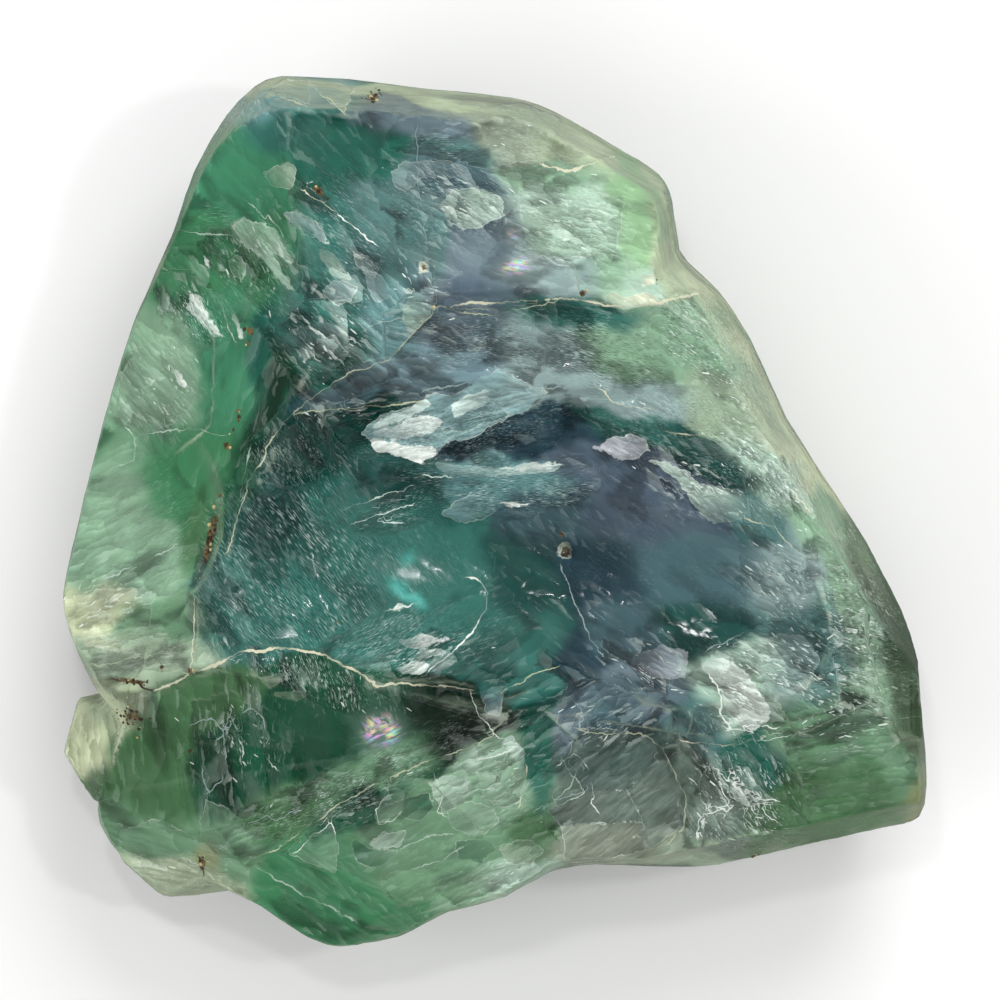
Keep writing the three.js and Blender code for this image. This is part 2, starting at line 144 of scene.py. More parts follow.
# Thin plates and chips that stand proud, or below zero lie deeper: colour, cover, rise in mm, outline in pixels
plates = [
    ("aqua", 0.9, 0.45, [(361, 434), (377, 417), (389, 412), (417, 404), (430, 394), (452, 395), (470, 386),
        (502, 368), (519, 380), (547, 391), (531, 410), (506, 418), (475, 437), (447, 443), (433, 457),
        (420, 461), (399, 455), (379, 450)]),
    ("lilac", 0.95, 0.35, [(593, 449), (609, 440), (632, 433), (643, 440), (650, 451), (635, 459),
        (620, 461), (606, 453)]),
    ("frost", 0.75, 0.3, [(645, 460), (668, 462), (683, 473), (699, 483), (729, 488), (752, 499),
        (775, 514), (774, 529), (744, 519), (714, 524), (700, 512), (686, 490), (672, 474)]),
    ("frost", 0.6, 0.25, [(737, 452), (765, 457), (790, 473), (808, 493), (816, 519), (800, 509),
        (775, 483), (750, 468)]),
    ("bone", 0.7, 0.25, [(744, 433), (775, 430), (803, 445), (818, 468), (790, 462), (760, 448)]),
    ("snow", 0.72, 0.35, [(698, 667), (723, 656), (745, 672), (762, 692), (771, 716), (752, 731),
        (732, 722), (725, 705), (722, 692), (711, 676)]),
    ("mist", 0.55, 0.2, [(744, 650), (773, 635), (803, 635), (819, 659), (808, 688), (773, 702),
        (759, 677)]),
    ("darkSmoke", 0.85, 0.4, [(577, 729), (609, 729), (638, 733), (660, 746), (653, 764), (627, 790),
        (583, 793), (565, 764)]),
    ("smoke", 0.85, 0.5, [(583, 793), (627, 790), (638, 811), (642, 822), (562, 826), (548, 812)]),
    ("paleSmoke", 0.85, 0.3, [(562, 826), (642, 822), (645, 849), (603, 861), (566, 863)]),
    ("smoke", 0.8, 0.6, [(660, 746), (676, 775), (687, 802), (682, 829), (645, 850), (646, 834), (638, 811),
        (627, 790), (653, 764)]),
    ("milkGreen", 0.85, 0.4, [(480, 744), (498, 737), (512, 743), (520, 757), (525, 776), (522, 800),
        (505, 806), (486, 800), (478, 772)]),
    ("frost", 0.8, 0.3, [(428, 782), (453, 774), (475, 785), (464, 802), (444, 813), (436, 797)]),
    ("frost", 0.8, 0.25, [(368, 844), (383, 832), (405, 830), (399, 846), (378, 848)]),
    ("milkGreen", 0.5, 0.25, [(388, 780), (408, 791), (402, 813), (380, 824), (375, 810)]),
    ("frost", 0.7, 0.35, [(490, 876), (533, 864), (552, 873), (533, 885), (509, 896), (487, 892)]),
    ("fern", 0.55, 0.4, [(120, 833), (155, 817), (194, 838), (197, 848), (172, 861), (144, 858),
        (122, 847)]),
    ("paleSlate", 0.6, 0.25, [(442, 514), (460, 498), (480, 491), (501, 496), (498, 509), (480, 521),
        (455, 523)]),
    ("ice", 0.45, 0.15, [(424, 463), (470, 466), (501, 469), (560, 463), (557, 472), (501, 476),
        (450, 475)]),
    ("mist", 0.45, 0.3, [(392, 172), (402, 162), (427, 158), (453, 161), (464, 172), (450, 177), (422, 179),
        (407, 192), (394, 184)]),
    ("frost", 0.8, 0.35, [(438, 203), (454, 190), (478, 187), (501, 201), (505, 214), (486, 225),
        (463, 231), (447, 218)]),
    ("milkGreen", 0.55, 0.25, [(517, 188), (555, 184), (593, 185), (624, 204), (620, 234), (614, 259),
        (604, 279), (592, 257), (545, 259), (525, 239)]),
    ("milkGreen", 0.7, 0.35, [(230, 224), (244, 219), (265, 224), (288, 243), (299, 267), (297, 296),
        (284, 288), (266, 260), (247, 244)]),
    ("snow", 0.65, 0.3, [(191, 295), (202, 296), (207, 313), (222, 337), (213, 340), (197, 318),
        (185, 308)]),
    ("snow", 0.6, 0.15, [(233, 314), (240, 322), (244, 338), (240, 339)]),
    ("milkGreen", 0.55, 0.3, [(152, 341), (173, 337), (187, 352), (198, 363), (198, 385), (193, 404),
        (172, 424), (140, 435), (127, 425), (116, 414), (123, 375), (137, 349)]),
    ("ice", 0.35, 0.2, [(175, 347), (188, 353), (198, 364), (198, 378), (189, 376), (180, 362)]),
    ("mist", 0.85, 0.35, [(325, 290), (332, 281), (345, 279), (356, 286), (352, 299), (340, 305),
        (328, 300)]),
    ("mist", 0.3, 0.3, [(284, 338), (300, 326), (322, 321), (345, 329), (351, 350), (336, 368), (310, 373),
        (288, 359)]),
    ("mist", 0.7, 0.2, [(312, 280), (318, 286), (312, 295)]),
    ("mist", 0.6, 0.25, [(361, 267), (384, 277), (393, 295), (376, 304), (369, 290)]),
    ("frost", 0.7, 0.25, [(405, 302), (415, 292), (436, 306), (427, 318), (411, 334), (403, 322)]),
    ("cream", 0.75, 0.2, [(642, 274), (655, 275), (655, 284), (643, 286)]),
    ("cream", 0.7, 0.25, [(602, 300), (614, 292), (630, 296), (648, 290), (662, 303), (629, 307),
        (606, 306)]),
    ("cream", 0.7, 0.2, [(417, 261), (427, 262), (430, 271), (418, 273)]),
    ("fern", 0.6, 0.2, [(230, 258), (240, 255), (246, 266), (242, 279), (231, 276)]),
    ("sage", 0.8, 0.35, [(267, 98), (275, 84), (286, 77), (308, 82), (309, 103), (290, 99)]),
    ("sage", 0.7, 0.3, [(311, 83), (335, 84), (355, 90), (345, 111), (328, 100)]),
    ("paleGreen", 0.6, 0.2, [(262, 172), (290, 162), (297, 172), (292, 190), (270, 185)]),
    ("slate", 0.6, 0.25, [(559, 700), (570, 697), (582, 708), (580, 738), (566, 744), (556, 722)]),
    ("lilac", 0.4, 0.25, [(622, 672), (636, 655), (663, 645), (688, 652), (685, 677), (656, 678)]),
    ("paleSlate", 0.55, 0.25, [(480, 688), (504, 680), (507, 691), (503, 706), (497, 716), (487, 715)]),
    ("sage", 0.3, 0.15, [(259, 677), (298, 671), (270, 688)]),
    ("sage", 0.25, 0.12, [(273, 694), (315, 690), (294, 701)]),
    ("fern", 0.6, 0.35, [(205, 800), (232, 812), (245, 823), (238, 838), (222, 850), (200, 840)]),
    ("sage", 0.65, 0.35, [(127, 861), (172, 855), (206, 867), (245, 883), (259, 900), (189, 902),
        (161, 892), (138, 872)]),
    ("bone", 0.75, 0.3, [(82, 638), (100, 637), (146, 655), (110, 651), (86, 646)]),
    ("seaBlue", 0.7, 0.25, [(346, 346), (366, 326), (402, 318), (409, 335), (388, 359), (362, 362)]),
    ("milkGreen", 0.5, 0.25, [(291, 854), (318, 833), (331, 822), (339, 847), (336, 871), (312, 865)]),
    ("paleGreen", 0.35, 0.25, [(478, 110), (520, 104), (560, 120), (545, 160), (500, 165), (480, 140)]),
    ("bone", 0.55, 0.1, [(557, 549), (563, 542), (570, 545), (572, 551), (566, 554), (559, 556)]),
    ("ice", 0.7, 0.3, [(497, 742), (512, 738), (524, 752), (526, 772), (514, 768), (504, 756)]),
    ("frost", 0.75, 0.35, [(455, 756), (478, 748), (492, 752), (486, 768), (466, 776), (452, 770)]),
    ("milkGreen", 0.8, 0.3, [(448, 812), (470, 802), (492, 806), (500, 822), (478, 836), (454, 830)]),
    ("bottle", 0.75, -0.2, [(405, 800), (428, 792), (434, 806), (420, 822), (402, 818)]),
    ("bottle", 0.65, -0.2, [(350, 838), (372, 848), (396, 852), (380, 868), (356, 862)]),
    ("paleGreen", 0.6, 0.3, [(500, 846), (530, 838), (545, 850), (530, 862), (505, 864)]),
    ("bottle", 0.6, -0.15, [(455, 842), (485, 838), (496, 850), (480, 862), (458, 860)]),
    ("bone", 0.5, 0.2, [(68, 606), (90, 590), (136, 588), (138, 600), (96, 612)]),
]

# Small bright faces on top of the plates: colour, cover, rise in mm, outline in pixels
shards = [
    ("snow", 0.9, 0.1, [(364, 437), (380, 439), (400, 444), (420, 446), (436, 450), (433, 460), (418, 462),
        (398, 457), (378, 450)]),
    ("ice", 0.85, 0.1, [(379, 418), (402, 412), (424, 399), (432, 404), (414, 416), (394, 423),
        (374, 428)]),
    ("snow", 0.72, 0.1, [(370, 431), (400, 424), (425, 414), (444, 420), (432, 434), (402, 439),
        (376, 437)]),
    ("ice", 0.8, 0.1, [(450, 405), (470, 394), (494, 388), (488, 402), (468, 412), (452, 421)]),
    ("mist", 0.4, 0.1, [(490, 388), (504, 374), (520, 383), (545, 393), (530, 404), (508, 408),
        (492, 404)]),
    ("darkTeal", 0.6, -0.1, [(444, 430), (470, 420), (500, 411), (522, 411), (495, 421), (465, 432)]),
    ("snow", 0.7, 0.05, [(500, 467), (540, 462), (556, 461), (552, 468), (520, 471)]),
    ("snow", 0.85, 0.1, [(503, 504), (512, 501), (525, 506), (510, 508)]),
    ("snow", 0.8, 0.05, [(387, 609), (398, 605), (409, 606), (396, 612)]),
    ("snow", 0.8, 0.05, [(398, 668), (418, 661), (433, 665), (424, 673), (404, 675)]),
    ("snow", 0.75, 0.05, [(399, 642), (424, 633), (449, 638), (430, 646), (408, 649)]),
    ("ice", 0.7, 0.05, [(411, 655), (436, 647), (448, 652), (424, 662)]),
    ("frost", 0.6, 0.1, [(232, 222), (240, 218), (262, 240), (282, 270), (296, 292), (284, 284), (262, 262),
        (246, 240)]),
    ("frost", 0.7, 0.2, [(262, 232), (270, 229), (285, 245), (295, 264), (286, 262), (272, 249)]),
    ("mist", 0.7, 0.2, [(299, 213), (308, 215), (323, 229), (331, 245), (320, 241), (306, 227)]),
    ("frost", 0.65, 0.2, [(317, 249), (330, 251), (345, 265), (351, 281), (338, 277), (323, 262)]),
    ("mist", 0.6, 0.2, [(285, 214), (295, 209), (307, 219), (317, 235), (304, 231), (292, 223)]),
    ("mist", 0.6, 0.2, [(351, 251), (365, 257), (379, 269), (373, 277), (357, 267)]),
    ("ice", 0.45, 0.15, [(317, 339), (330, 334), (340, 344), (332, 354), (320, 351)]),
    ("ice", 0.5, 0.15, [(299, 351), (311, 344), (317, 356), (305, 363)]),
    ("umber", 0.95, -0.6, [(559, 553), (564, 548), (571, 550), (571, 558), (564, 561)]),
    ("snow", 0.85, 0.05, [(203, 256), (207, 262), (209, 268), (204, 265)]),
    ("snow", 0.75, 0.05, [(172, 368), (178, 372), (188, 386), (184, 388), (176, 380)]),
    ("snow", 0.8, 0.1, [(189, 294), (198, 297), (208, 316), (222, 337), (214, 334), (200, 316)]),
]

# Cracks and bright broken edges: colour, width in mm, groove in mm (below zero stands proud), path in pixels
cracks = [
    ("cream", 0.55, -0.25, [(152, 692), (189, 676), (225, 660), (243, 651), (284, 648), (315, 653),
        (338, 662), (358, 672), (379, 687), (399, 684), (425, 686), (450, 687), (473, 691)]),
    ("umber", 0.45, 0.35, [(108, 680), (136, 681), (153, 691)]),
    ("cream", 0.22, 0.2, [(194, 600), (195, 630), (190, 674)]),
    ("umber", 0.6, 0.4, [(213, 519), (213, 537), (207, 554), (203, 564), (198, 577), (192, 586)]),
    ("bone", 0.25, -0.15, [(436, 310), (410, 335), (388, 361), (353, 372), (338, 381), (317, 394),
        (302, 407), (289, 417), (274, 435), (262, 458), (251, 478), (241, 506), (228, 550)]),
    ("cream", 0.45, -0.3, [(438, 308), (458, 306), (478, 302), (522, 302), (550, 300), (575, 298),
        (603, 305), (626, 307), (662, 302), (698, 294)]),
    ("bone", 0.22, 0.15, [(443, 309), (489, 315), (519, 310), (555, 302)]),
    ("paleSlate", 0.16, 0.2, [(416, 124), (419, 188), (425, 239), (427, 262), (438, 305)]),
    ("cream", 0.35, -0.2, [(542, 163), (565, 172), (588, 166), (612, 158)]),
    ("snow", 0.35, -0.15, [(468, 577), (480, 581), (488, 593), (486, 607), (478, 621), (468, 637),
        (452, 652), (430, 672)]),
    ("mist", 0.16, 0.12, [(562, 567), (575, 603), (590, 639), (602, 656)]),
    ("bone", 0.22, 0.2, [(660, 746), (675, 770), (686, 800), (684, 825), (668, 843), (644, 851)]),
    ("mist", 0.16, 0.15, [(627, 790), (638, 811), (647, 835), (644, 851)]),
    ("mist", 0.18, 0.15, [(536, 811), (558, 799), (583, 792)]),
    ("snow", 0.2, 0.1, [(592, 785), (594, 797), (590, 803), (597, 812)]),
    ("bone", 0.18, 0.15, [(577, 729), (597, 735), (632, 732), (645, 736), (660, 746)]),
    ("cream", 0.25, -0.1, [(682, 741), (714, 744), (738, 744), (764, 735)]),
    ("snow", 0.26, -0.15, [(710, 675), (723, 697), (721, 716), (733, 727), (753, 732)]),
    ("snow", 0.26, -0.1, [(710, 764), (724, 777), (738, 788), (750, 804), (760, 823)]),
    ("snow", 0.2, -0.1, [(730, 758), (736, 775), (745, 788), (762, 799), (779, 802)]),
    ("snow", 0.24, -0.1, [(750, 801), (724, 808), (706, 814), (702, 835)]),
    ("snow", 0.2, -0.1, [(706, 770), (698, 782), (703, 799), (712, 808)]),
    ("bone", 0.28, -0.15, [(245, 862), (284, 844), (313, 822), (335, 808), (357, 794), (386, 780),
        (425, 763), (470, 748), (492, 738)]),
    ("snow", 0.18, -0.08, [(331, 822), (339, 847), (336, 872), (312, 865), (292, 854), (318, 833),
        (331, 822)]),
    ("snow", 0.17, -0.08, [(388, 780), (386, 794), (376, 810), (380, 824), (391, 822), (402, 813)]),
    ("mist", 0.18, -0.08, [(192, 725), (214, 719), (223, 729), (232, 727)]),
    ("mist", 0.18, -0.08, [(230, 709), (228, 723), (223, 735), (216, 738)]),
    ("ice", 0.24, -0.1, [(234, 718), (238, 735), (243, 756)]),
    ("mist", 0.18, -0.08, [(254, 698), (251, 707), (240, 715), (242, 750)]),
    ("mist", 0.2, -0.08, [(251, 708), (262, 718), (267, 735), (266, 743)]),
    ("mist", 0.16, -0.08, [(244, 687), (251, 698)]),
    ("ice", 0.22, -0.08, [(267, 760), (275, 770)]),
    ("mist", 0.18, -0.08, [(203, 768), (207, 793), (221, 779), (220, 768)]),
    ("mist", 0.18, -0.08, [(205, 800), (231, 812), (245, 823), (235, 838), (220, 848)]),
    ("mist", 0.15, -0.06, [(245, 824), (267, 817), (276, 822), (304, 805)]),
    ("snow", 0.25, -0.1, [(480, 760), (497, 755), (509, 751)]),
    ("cream", 0.3, -0.1, [(527, 767), (526, 785), (520, 806)]),
    ("snow", 0.25, -0.1, [(471, 692), (476, 712), (490, 731), (498, 738)]),
    ("cream", 0.28, -0.12, [(603, 390), (614, 401), (627, 406), (649, 409)]),
    ("cream", 0.45, -0.15, [(668, 433), (700, 434), (722, 445)]),
    ("bone", 0.28, -0.1, [(744, 519), (775, 529), (798, 554), (808, 558)]),
    ("frost", 0.25, 0.15, [(182, 231), (205, 233), (230, 234)]),
    ("frost", 0.2, 0.12, [(138, 436), (168, 429), (192, 429), (224, 435)]),
    ("snow", 0.25, -0.1, [(127, 426), (137, 437), (136, 460), (122, 465)]),
    ("milkGreen", 0.16, -0.06, [(182, 546), (175, 569), (162, 595)]),
    ("sage", 0.25, -0.1, [(91, 664), (97, 666), (144, 656), (150, 656)]),
    ("bone", 0.25, -0.1, [(265, 99), (288, 100), (307, 106)]),
    ("bone", 0.22, -0.1, [(307, 84), (328, 98), (344, 112)]),
    ("umber", 0.6, 0.3, [(313, 186), (320, 191), (326, 198)]),
    ("cream", 0.2, -0.1, [(303, 191), (318, 200), (333, 209)]),
    ("snow", 0.26, -0.1, [(339, 215), (356, 229), (375, 243)]),
    ("frost", 0.2, -0.08, [(221, 305), (228, 322), (234, 341)]),
    ("frost", 0.22, -0.08, [(268, 217), (277, 228), (286, 240)]),
    ("frost", 0.24, -0.08, [(246, 198), (255, 208), (264, 219)]),
    ("frost", 0.18, -0.06, [(251, 449), (246, 472), (240, 496)]),
    ("milkGreen", 0.3, -0.1, [(114, 521), (140, 508), (167, 498)]),
    ("milkGreen", 0.3, -0.1, [(94, 569), (130, 549), (165, 533)]),
    ("frost", 0.26, -0.1, [(98, 582), (135, 565), (175, 546)]),
    ("ice", 0.2, -0.08, [(343, 509), (376, 498), (412, 487)]),
    ("ice", 0.18, -0.08, [(353, 524), (380, 514), (412, 503)]),
    ("ice", 0.22, -0.08, [(379, 521), (401, 524)]),
    ("ice", 0.24, -0.1, [(389, 611), (412, 605)]),
    ("ice", 0.22, -0.08, [(501, 468), (530, 465), (560, 464)]),
    ("snow", 0.24, -0.08, [(501, 503), (526, 505)]),
    ("ice", 0.2, -0.08, [(424, 475), (452, 477)]),
    ("bone", 0.22, -0.1, [(503, 692), (529, 678), (557, 667)]),
    ("mist", 0.2, -0.08, [(706, 650), (742, 632)]),
    ("frost", 0.3, -0.1, [(256, 867), (300, 892), (352, 920)]),
    ("bone", 0.3, -0.2, [(294, 414), (328, 410), (378, 406), (419, 401)]),
    ("mist", 0.25, -0.2, [(424, 391), (455, 384), (483, 378), (501, 367), (516, 384), (552, 389),
        (600, 388)]),
    ("cream", 0.22, -0.1, [(795, 493), (805, 505), (816, 519)]),
    ("umber", 0.4, 0.25, [(200, 858), (203, 875)]),
    ("frost", 0.22, -0.1, [(562, 758), (577, 770), (568, 790), (548, 806)]),
    ("snow", 0.18, -0.08, [(700, 765), (719, 770), (734, 789), (748, 798), (767, 801)]),
    ("snow", 0.16, -0.08, [(729, 765), (736, 784), (748, 798), (758, 806), (777, 822)]),
    ("snow", 0.15, -0.08, [(748, 801), (743, 818), (753, 827)]),
    ("snow", 0.15, -0.08, [(710, 803), (700, 822), (698, 837)]),
    ("snow", 0.15, -0.06, [(716, 806), (742, 803), (770, 806)]),
    ("snow", 0.15, -0.06, [(719, 784), (728, 800), (724, 818)]),
    ("snow", 0.18, -0.08, [(729, 729), (752, 724), (778, 727)]),
    ("ice", 0.16, -0.06, [(734, 738), (760, 740), (788, 736)]),
    ("snow", 0.2, -0.1, [(434, 776), (443, 794), (438, 811), (447, 816)]),
    ("frost", 0.2, -0.08, [(456, 794), (476, 786), (496, 776)]),
    ("frost", 0.18, -0.08, [(402, 848), (428, 836), (452, 834)]),
    ("frost", 0.18, -0.08, [(412, 870), (440, 862), (462, 848)]),
    ("ice", 0.16, -0.06, [(558, 765), (575, 753), (587, 767)]),
]

# Frosted, crumbled patches: middle and half sizes in pixels, turn, strength
frosted = [
    (462, 200, 46, 30, 0, 0.5), (572, 224, 56, 46, 0, 0.45), (325, 340, 44, 34, 0, 0.9),
    (345, 290, 34, 26, 0, 0.5), (800, 672, 52, 40, 0, 1.0), (862, 620, 40, 64, -10, 1.0),
    (786, 585, 40, 40, 20, 0.7), (700, 482, 66, 28, 20, 0.6), (420, 656, 58, 20, -14, 0.7),
    (716, 340, 76, 46, 20, 0.8), (848, 700, 60, 44, 0, 0.9), (740, 796, 50, 50, 30, 0.9),
    (640, 668, 50, 24, 0, 0.6), (600, 724, 60, 24, 0, 0.6), (236, 90, 30, 40, 40, 0.6),
    (250, 262, 40, 46, -30, 0.4), (350, 800, 70, 30, -24, 0.45), (500, 770, 40, 60, 0, 0.45),
    (330, 412, 40, 16, -8, 0.6), (160, 390, 40, 50, 0, 0.5), (740, 690, 40, 40, 0, 1.0),
    (770, 470, 60, 30, 40, 0.8), (740, 400, 70, 30, 28, 0.6), (510, 125, 60, 30, 10, 0.3),
    (240, 740, 40, 50, 0, 0.5), (100, 600, 50, 30, 0, 0.6), (180, 880, 60, 24, 0, 0.4),
    (860, 545, 30, 40, -25, 0.8), (560, 150, 60, 20, 10, 0.2), (190, 300, 24, 40, -20, 0.6),
    (420, 290, 30, 40, 0, 0.6), (340, 690, 60, 24, 20, 0.5), (505, 880, 60, 24, -16, 0.4),
    (90, 742, 24, 30, 0, 0.3),
]

# Patches of parallel strokes: middle and half sizes in pixels, turn, strength, slope of the strokes in degrees
strokes = [
    (300, 560, 110, 90, 20, 1.0, 50), (310, 674, 90, 18, 14, 0.9, 66), (262, 268, 50, 66, -20, 0.45, 48),
    (785, 490, 46, 34, 40, 0.9, 46), (202, 318, 26, 34, -20, 0.9, 56), (335, 245, 56, 56, 0, 0.6, 40),
    (275, 470, 46, 44, 0, 0.8, 55), (500, 486, 90, 26, 4, 1.0, -2), (460, 425, 90, 26, -6, 0.9, -14),
    (480, 338, 76, 30, 8, 0.8, 6), (600, 352, 80, 36, 10, 0.9, 14), (725, 350, 90, 50, 24, 0.9, 22),
    (862, 620, 44, 90, 0, 0.9, 4), (205, 222, 34, 16, 0, 0.4, 2), (700, 440, 90, 40, 20, 0.9, 24),
    (462, 150, 44, 18, 0, 0.7, 0), (560, 150, 70, 30, 0, 0.5, 8), (350, 792, 110, 24, -26, 1.0, -26),
    (140, 540, 60, 70, 0, 0.35, -28), (385, 512, 46, 20, -20, 0.7, -16), (430, 860, 110, 50, 0, 0.2, -30),
    (140, 650, 56, 22, 0, 0.6, -16), (610, 800, 60, 56, 0, 0.15, -40), (230, 420, 36, 90, 14, 0.08, 100),
    (650, 560, 110, 60, 20, 0.12, 30), (400, 640, 80, 36, -14, 0.9, -30), (240, 740, 60, 50, 0, 0.2, 80),
    (740, 790, 60, 50, 30, 0.6, 46), (780, 670, 60, 44, 0, 0.7, 20), (570, 224, 60, 44, 0, 0.6, 12),
    (450, 205, 60, 40, 0, 0.7, 26), (320, 335, 50, 36, 0, 0.7, 34), (860, 760, 60, 50, 0, 0.2, -10),
    (160, 390, 44, 56, 0, 0.2, 44), (170, 880, 70, 30, 0, 0.3, 16), (330, 900, 70, 50, 0, 0.12, 30),
]

# Smooth, shell-like or even faces: middle and half sizes in pixels, turn, strength
calm = [
    (665, 560, 110, 66, 16, 0.95), (400, 560, 170, 96, 0, 0.85), (200, 420, 60, 130, 12, 0.85),
    (340, 722, 130, 34, -4, 0.9), (440, 716, 44, 22, 0, 0.95), (235, 175, 44, 44, 0, 0.8),
    (150, 490, 60, 60, 0, 0.8), (320, 880, 70, 50, 0, 0.7), (860, 790, 60, 34, 0, 0.6),
    (160, 790, 50, 50, 0, 0.7), (636, 212, 24, 50, 0, 0.7), (350, 150, 46, 34, 0, 0.8),
    (908, 640, 30, 110, -6, 0.8), (505, 625, 50, 40, 0, 0.7), (480, 262, 44, 34, 0, 0.7),
    (612, 800, 56, 56, 0, 0.6), (540, 132, 80, 38, 12, 0.8), (600, 172, 60, 30, 10, 0.7),
    (690, 362, 90, 46, 24, 0.6), (440, 852, 90, 44, 0, 0.65), (510, 806, 40, 40, 0, 0.5),
    (744, 420, 60, 26, 28, 0.5), (640, 280, 50, 24, 0, 0.6), (150, 850, 60, 34, 0, 0.5),
    (110, 620, 60, 40, 0, 0.5),
]

# Places where a thin crack splits the light: middle and half sizes in pixels, turn, strength
rainbows = [
    (381, 731, 20, 18, 0, 1.0), (520, 266, 26, 13, -20, 0.7), (513, 236, 10, 12, 0, 0.5),
    (769, 664, 16, 8, 0, 0.5),
]

# Rusty grit in cracks and pits: middle and half sizes in pixels, turn, strength
grit = [
    (210, 540, 4, 30, 14, 0.9), (250, 331, 4, 4, 0, 0.9), (247, 343, 3, 3, 0, 0.8),
    (239, 417, 3, 5, 0, 0.8), (227, 446, 4, 4, 0, 0.9), (233, 430, 3, 3, 0, 0.8), (219, 496, 3, 3, 0, 0.6),
    (374, 97, 7, 5, -20, 0.9), (319, 191, 4, 7, -40, 0.9), (583, 293, 4, 4, 0, 0.9),
    (436, 300, 5, 9, 10, 0.5), (423, 267, 4, 4, 0, 0.7), (562, 534, 3, 3, 0, 0.9),
    (565, 552, 6, 6, 0, 0.45), (130, 718, 16, 14, 20, 0.5), (130, 681, 24, 3, 6, 0.8),
    (162, 667, 3, 3, 0, 0.9), (190, 671, 3, 3, 0, 0.9), (190, 751, 4, 3, 0, 0.7), (202, 864, 4, 10, 0, 0.7),
    (337, 622, 4, 3, 0, 0.6), (758, 855, 4, 3, 0, 0.6), (655, 280, 5, 4, 0, 0.3),
]

# How the photo's marks are laid on the mesh; noise is given as size, reach and two seeds, or in layers of
# strength, size in mm and seed
marking = {
    "seenSlope": (0.02, 0.25),  # upright part of the normal from which the photo shows a face
    "seenHeight": (9.0, 13.0),  # and its height, mm
    "facingSlope": (0.15, 0.60),  # from wall to face
    "foldSlope": (0.15, 0.45),  # steeper faces are folded out in the flat map
    "wideWarp": (34, 9.0, (1, 2)),  # pixels
    "narrowWarp": (11, 3.5, (3, 4)),
    "fineWarp": (16, 1.6, (5, 6)),
    "wallDrift": (9.0, 45.0, (51, 52)),  # size in mm, reach in pixels
    "flakeBend": (2.6, 0.14, (41, 42)),  # mm
    "patchWarp": 0.7,
    "rainbowWarp": 0.3,
    "frostTop": 1.15,
    "strokeTop": 1.3,
    "strokeGap": 0.2,  # strokes fade where two patches meet
    "flakeScale": (0.75, 0.7),  # flakes of many sizes: smallest scale and spread
    "scaleStep": 0.618,
    "farZone": 1e-6,  # share of the nearest zone where none reaches
    "greyShares": (0.21, 0.72, 0.07),
    "middleGrey": 0.17,
    "richness": 1.15,  # colour strength of the body
    "contrast": 0.26,
    "clouds": ((0.20, 7.0, 21), (0.16, 3.1, 22), (0.12, 1.4, 23)),
    "calmCloud": 0.6,
    "wisps": ((1.0, 2.6, 24), (0.6, 1.2, 25), (0.35, 0.6, 26)),
    "wispStretch": (0.45, 1.0),
    "pocketDark": 0.6,
    "calmPocket": 0.75,
    "wallPocket": 0.2,
    "veilColour": (0.46, 0.57, 0.50),
    "veilCover": (0.03, 0.22),  # plain and frosted
    "calmVeil": 0.8,
    "rimClouds": ((1.0, 5.0, 27), (0.4, 1.6, 28)),
    "rimFrost": 0.55,
    "rimPart": 0.35,
    "rimColour": (0.40, 0.45, 0.34),
    "shadedWall": (910, 640, 40, 120, -6),  # painted shade: the wall in this place stays clear and dark
    "shadedWallShare": 0.95,
    "mottles": ((0.26, 2.4, 31), (0.16, 1.1, 32)),
    "wallFacet": 0.05,
    "backFacet": 0.15,
    "wearSmoothing": 2,
    "wearKept": 0.4,
    "reach": 20,  # pixels round a plate or crack that it can change
    "seed": 11,
}

plateLook = {
    "edge": 0.16,  # mm over which a plate's step rises
    "rise": 0.6,
    "tilt": 0.7,
    "shade": 0.5,  # painted shade: light to dark across a plate, lighter where it tilts up
    "fullCover": (0.75, 0.85),
    "slantFade": (-0.5, 0.2),
    "leastCover": 0.3,
    "wispCover": 0.75,
}

crackLook = {
    "width": 0.38,  # drawn share of the width given
    "grooveEdge": 0.25,  # mm
    "endFade": 0.5,
    "sideFade": (0.5, 0.8),
    "breaks": (0.32, 0.62),
    "leastShown": 0.2,
}

noiseHash = {
    "axes": (73856093, 19349663, 83492791),  # large primes that scatter the cells
    "seedStep": 9176,
    "spread": 1274126177,
    "shift": 7.31,
}

stoneShape = {
    "voxel": 0.00038,  # mesh size after remeshing, metres
    "smoothing": 3,
    "smoothAmount": 0.45,
    "underShare": 0.06,  # share of the hidden triangles that stay
    "hiddenSlope": (0.0, 0.3),
    "restHeight": 0.0012,  # below this the rest face keeps its place
    "flakeSize": (5.0, 2.2),  # length and width of the flakes, mm
    "splitSize": (2.4, 0.7),  # flakes that a large one is split into
    "chipSize": (0.95, 0.26),
}

relief = {
    "Wave Height": 0.00035,  # metres
    "Wave Size": 9.0,  # mm
    "Step Height": 0.00045,
    "Step Size": 3.2,
    "Step Part": 0.16,
    "Step Slope": 0.35,
    "Crumb Height": 0.00012,
    "Crumb Size": 1.1,
    "Flake Length": stoneShape["flakeSize"][0],
    "Flake Width": stoneShape["flakeSize"][1],
    "Flake Slope": 0.30,
    "Chip Length": stoneShape["chipSize"][0],
    "Chip Width": stoneShape["chipSize"][1],
    "Chip Slope": 0.03,
}


def addNode(tree, kind, links=None, **settings):
    node = tree.nodes.new(kind)
    for name, value in settings.items():
        setattr(node, name, value)
    for name, value in (links or {}).items():
        if isinstance(value, bpy.types.NodeSocket):
            tree.links.new(value, node.inputs[name])
        else:
            node.inputs[name].default_value = value
    return node


def maths(tree, operation, *values):
    return addNode(tree, "ShaderNodeMath", dict(enumerate(values)), operation=operation).outputs[0]


def times(tree, first, *others):
    for value in others:
        first = maths(tree, "MULTIPLY", first, value)
    return first


def plus(tree, first, *others):
    for value in others:
        first = maths(tree, "ADD", first, value)
    return first


def minus(tree, first, second):
    return maths(tree, "SUBTRACT", first, second)


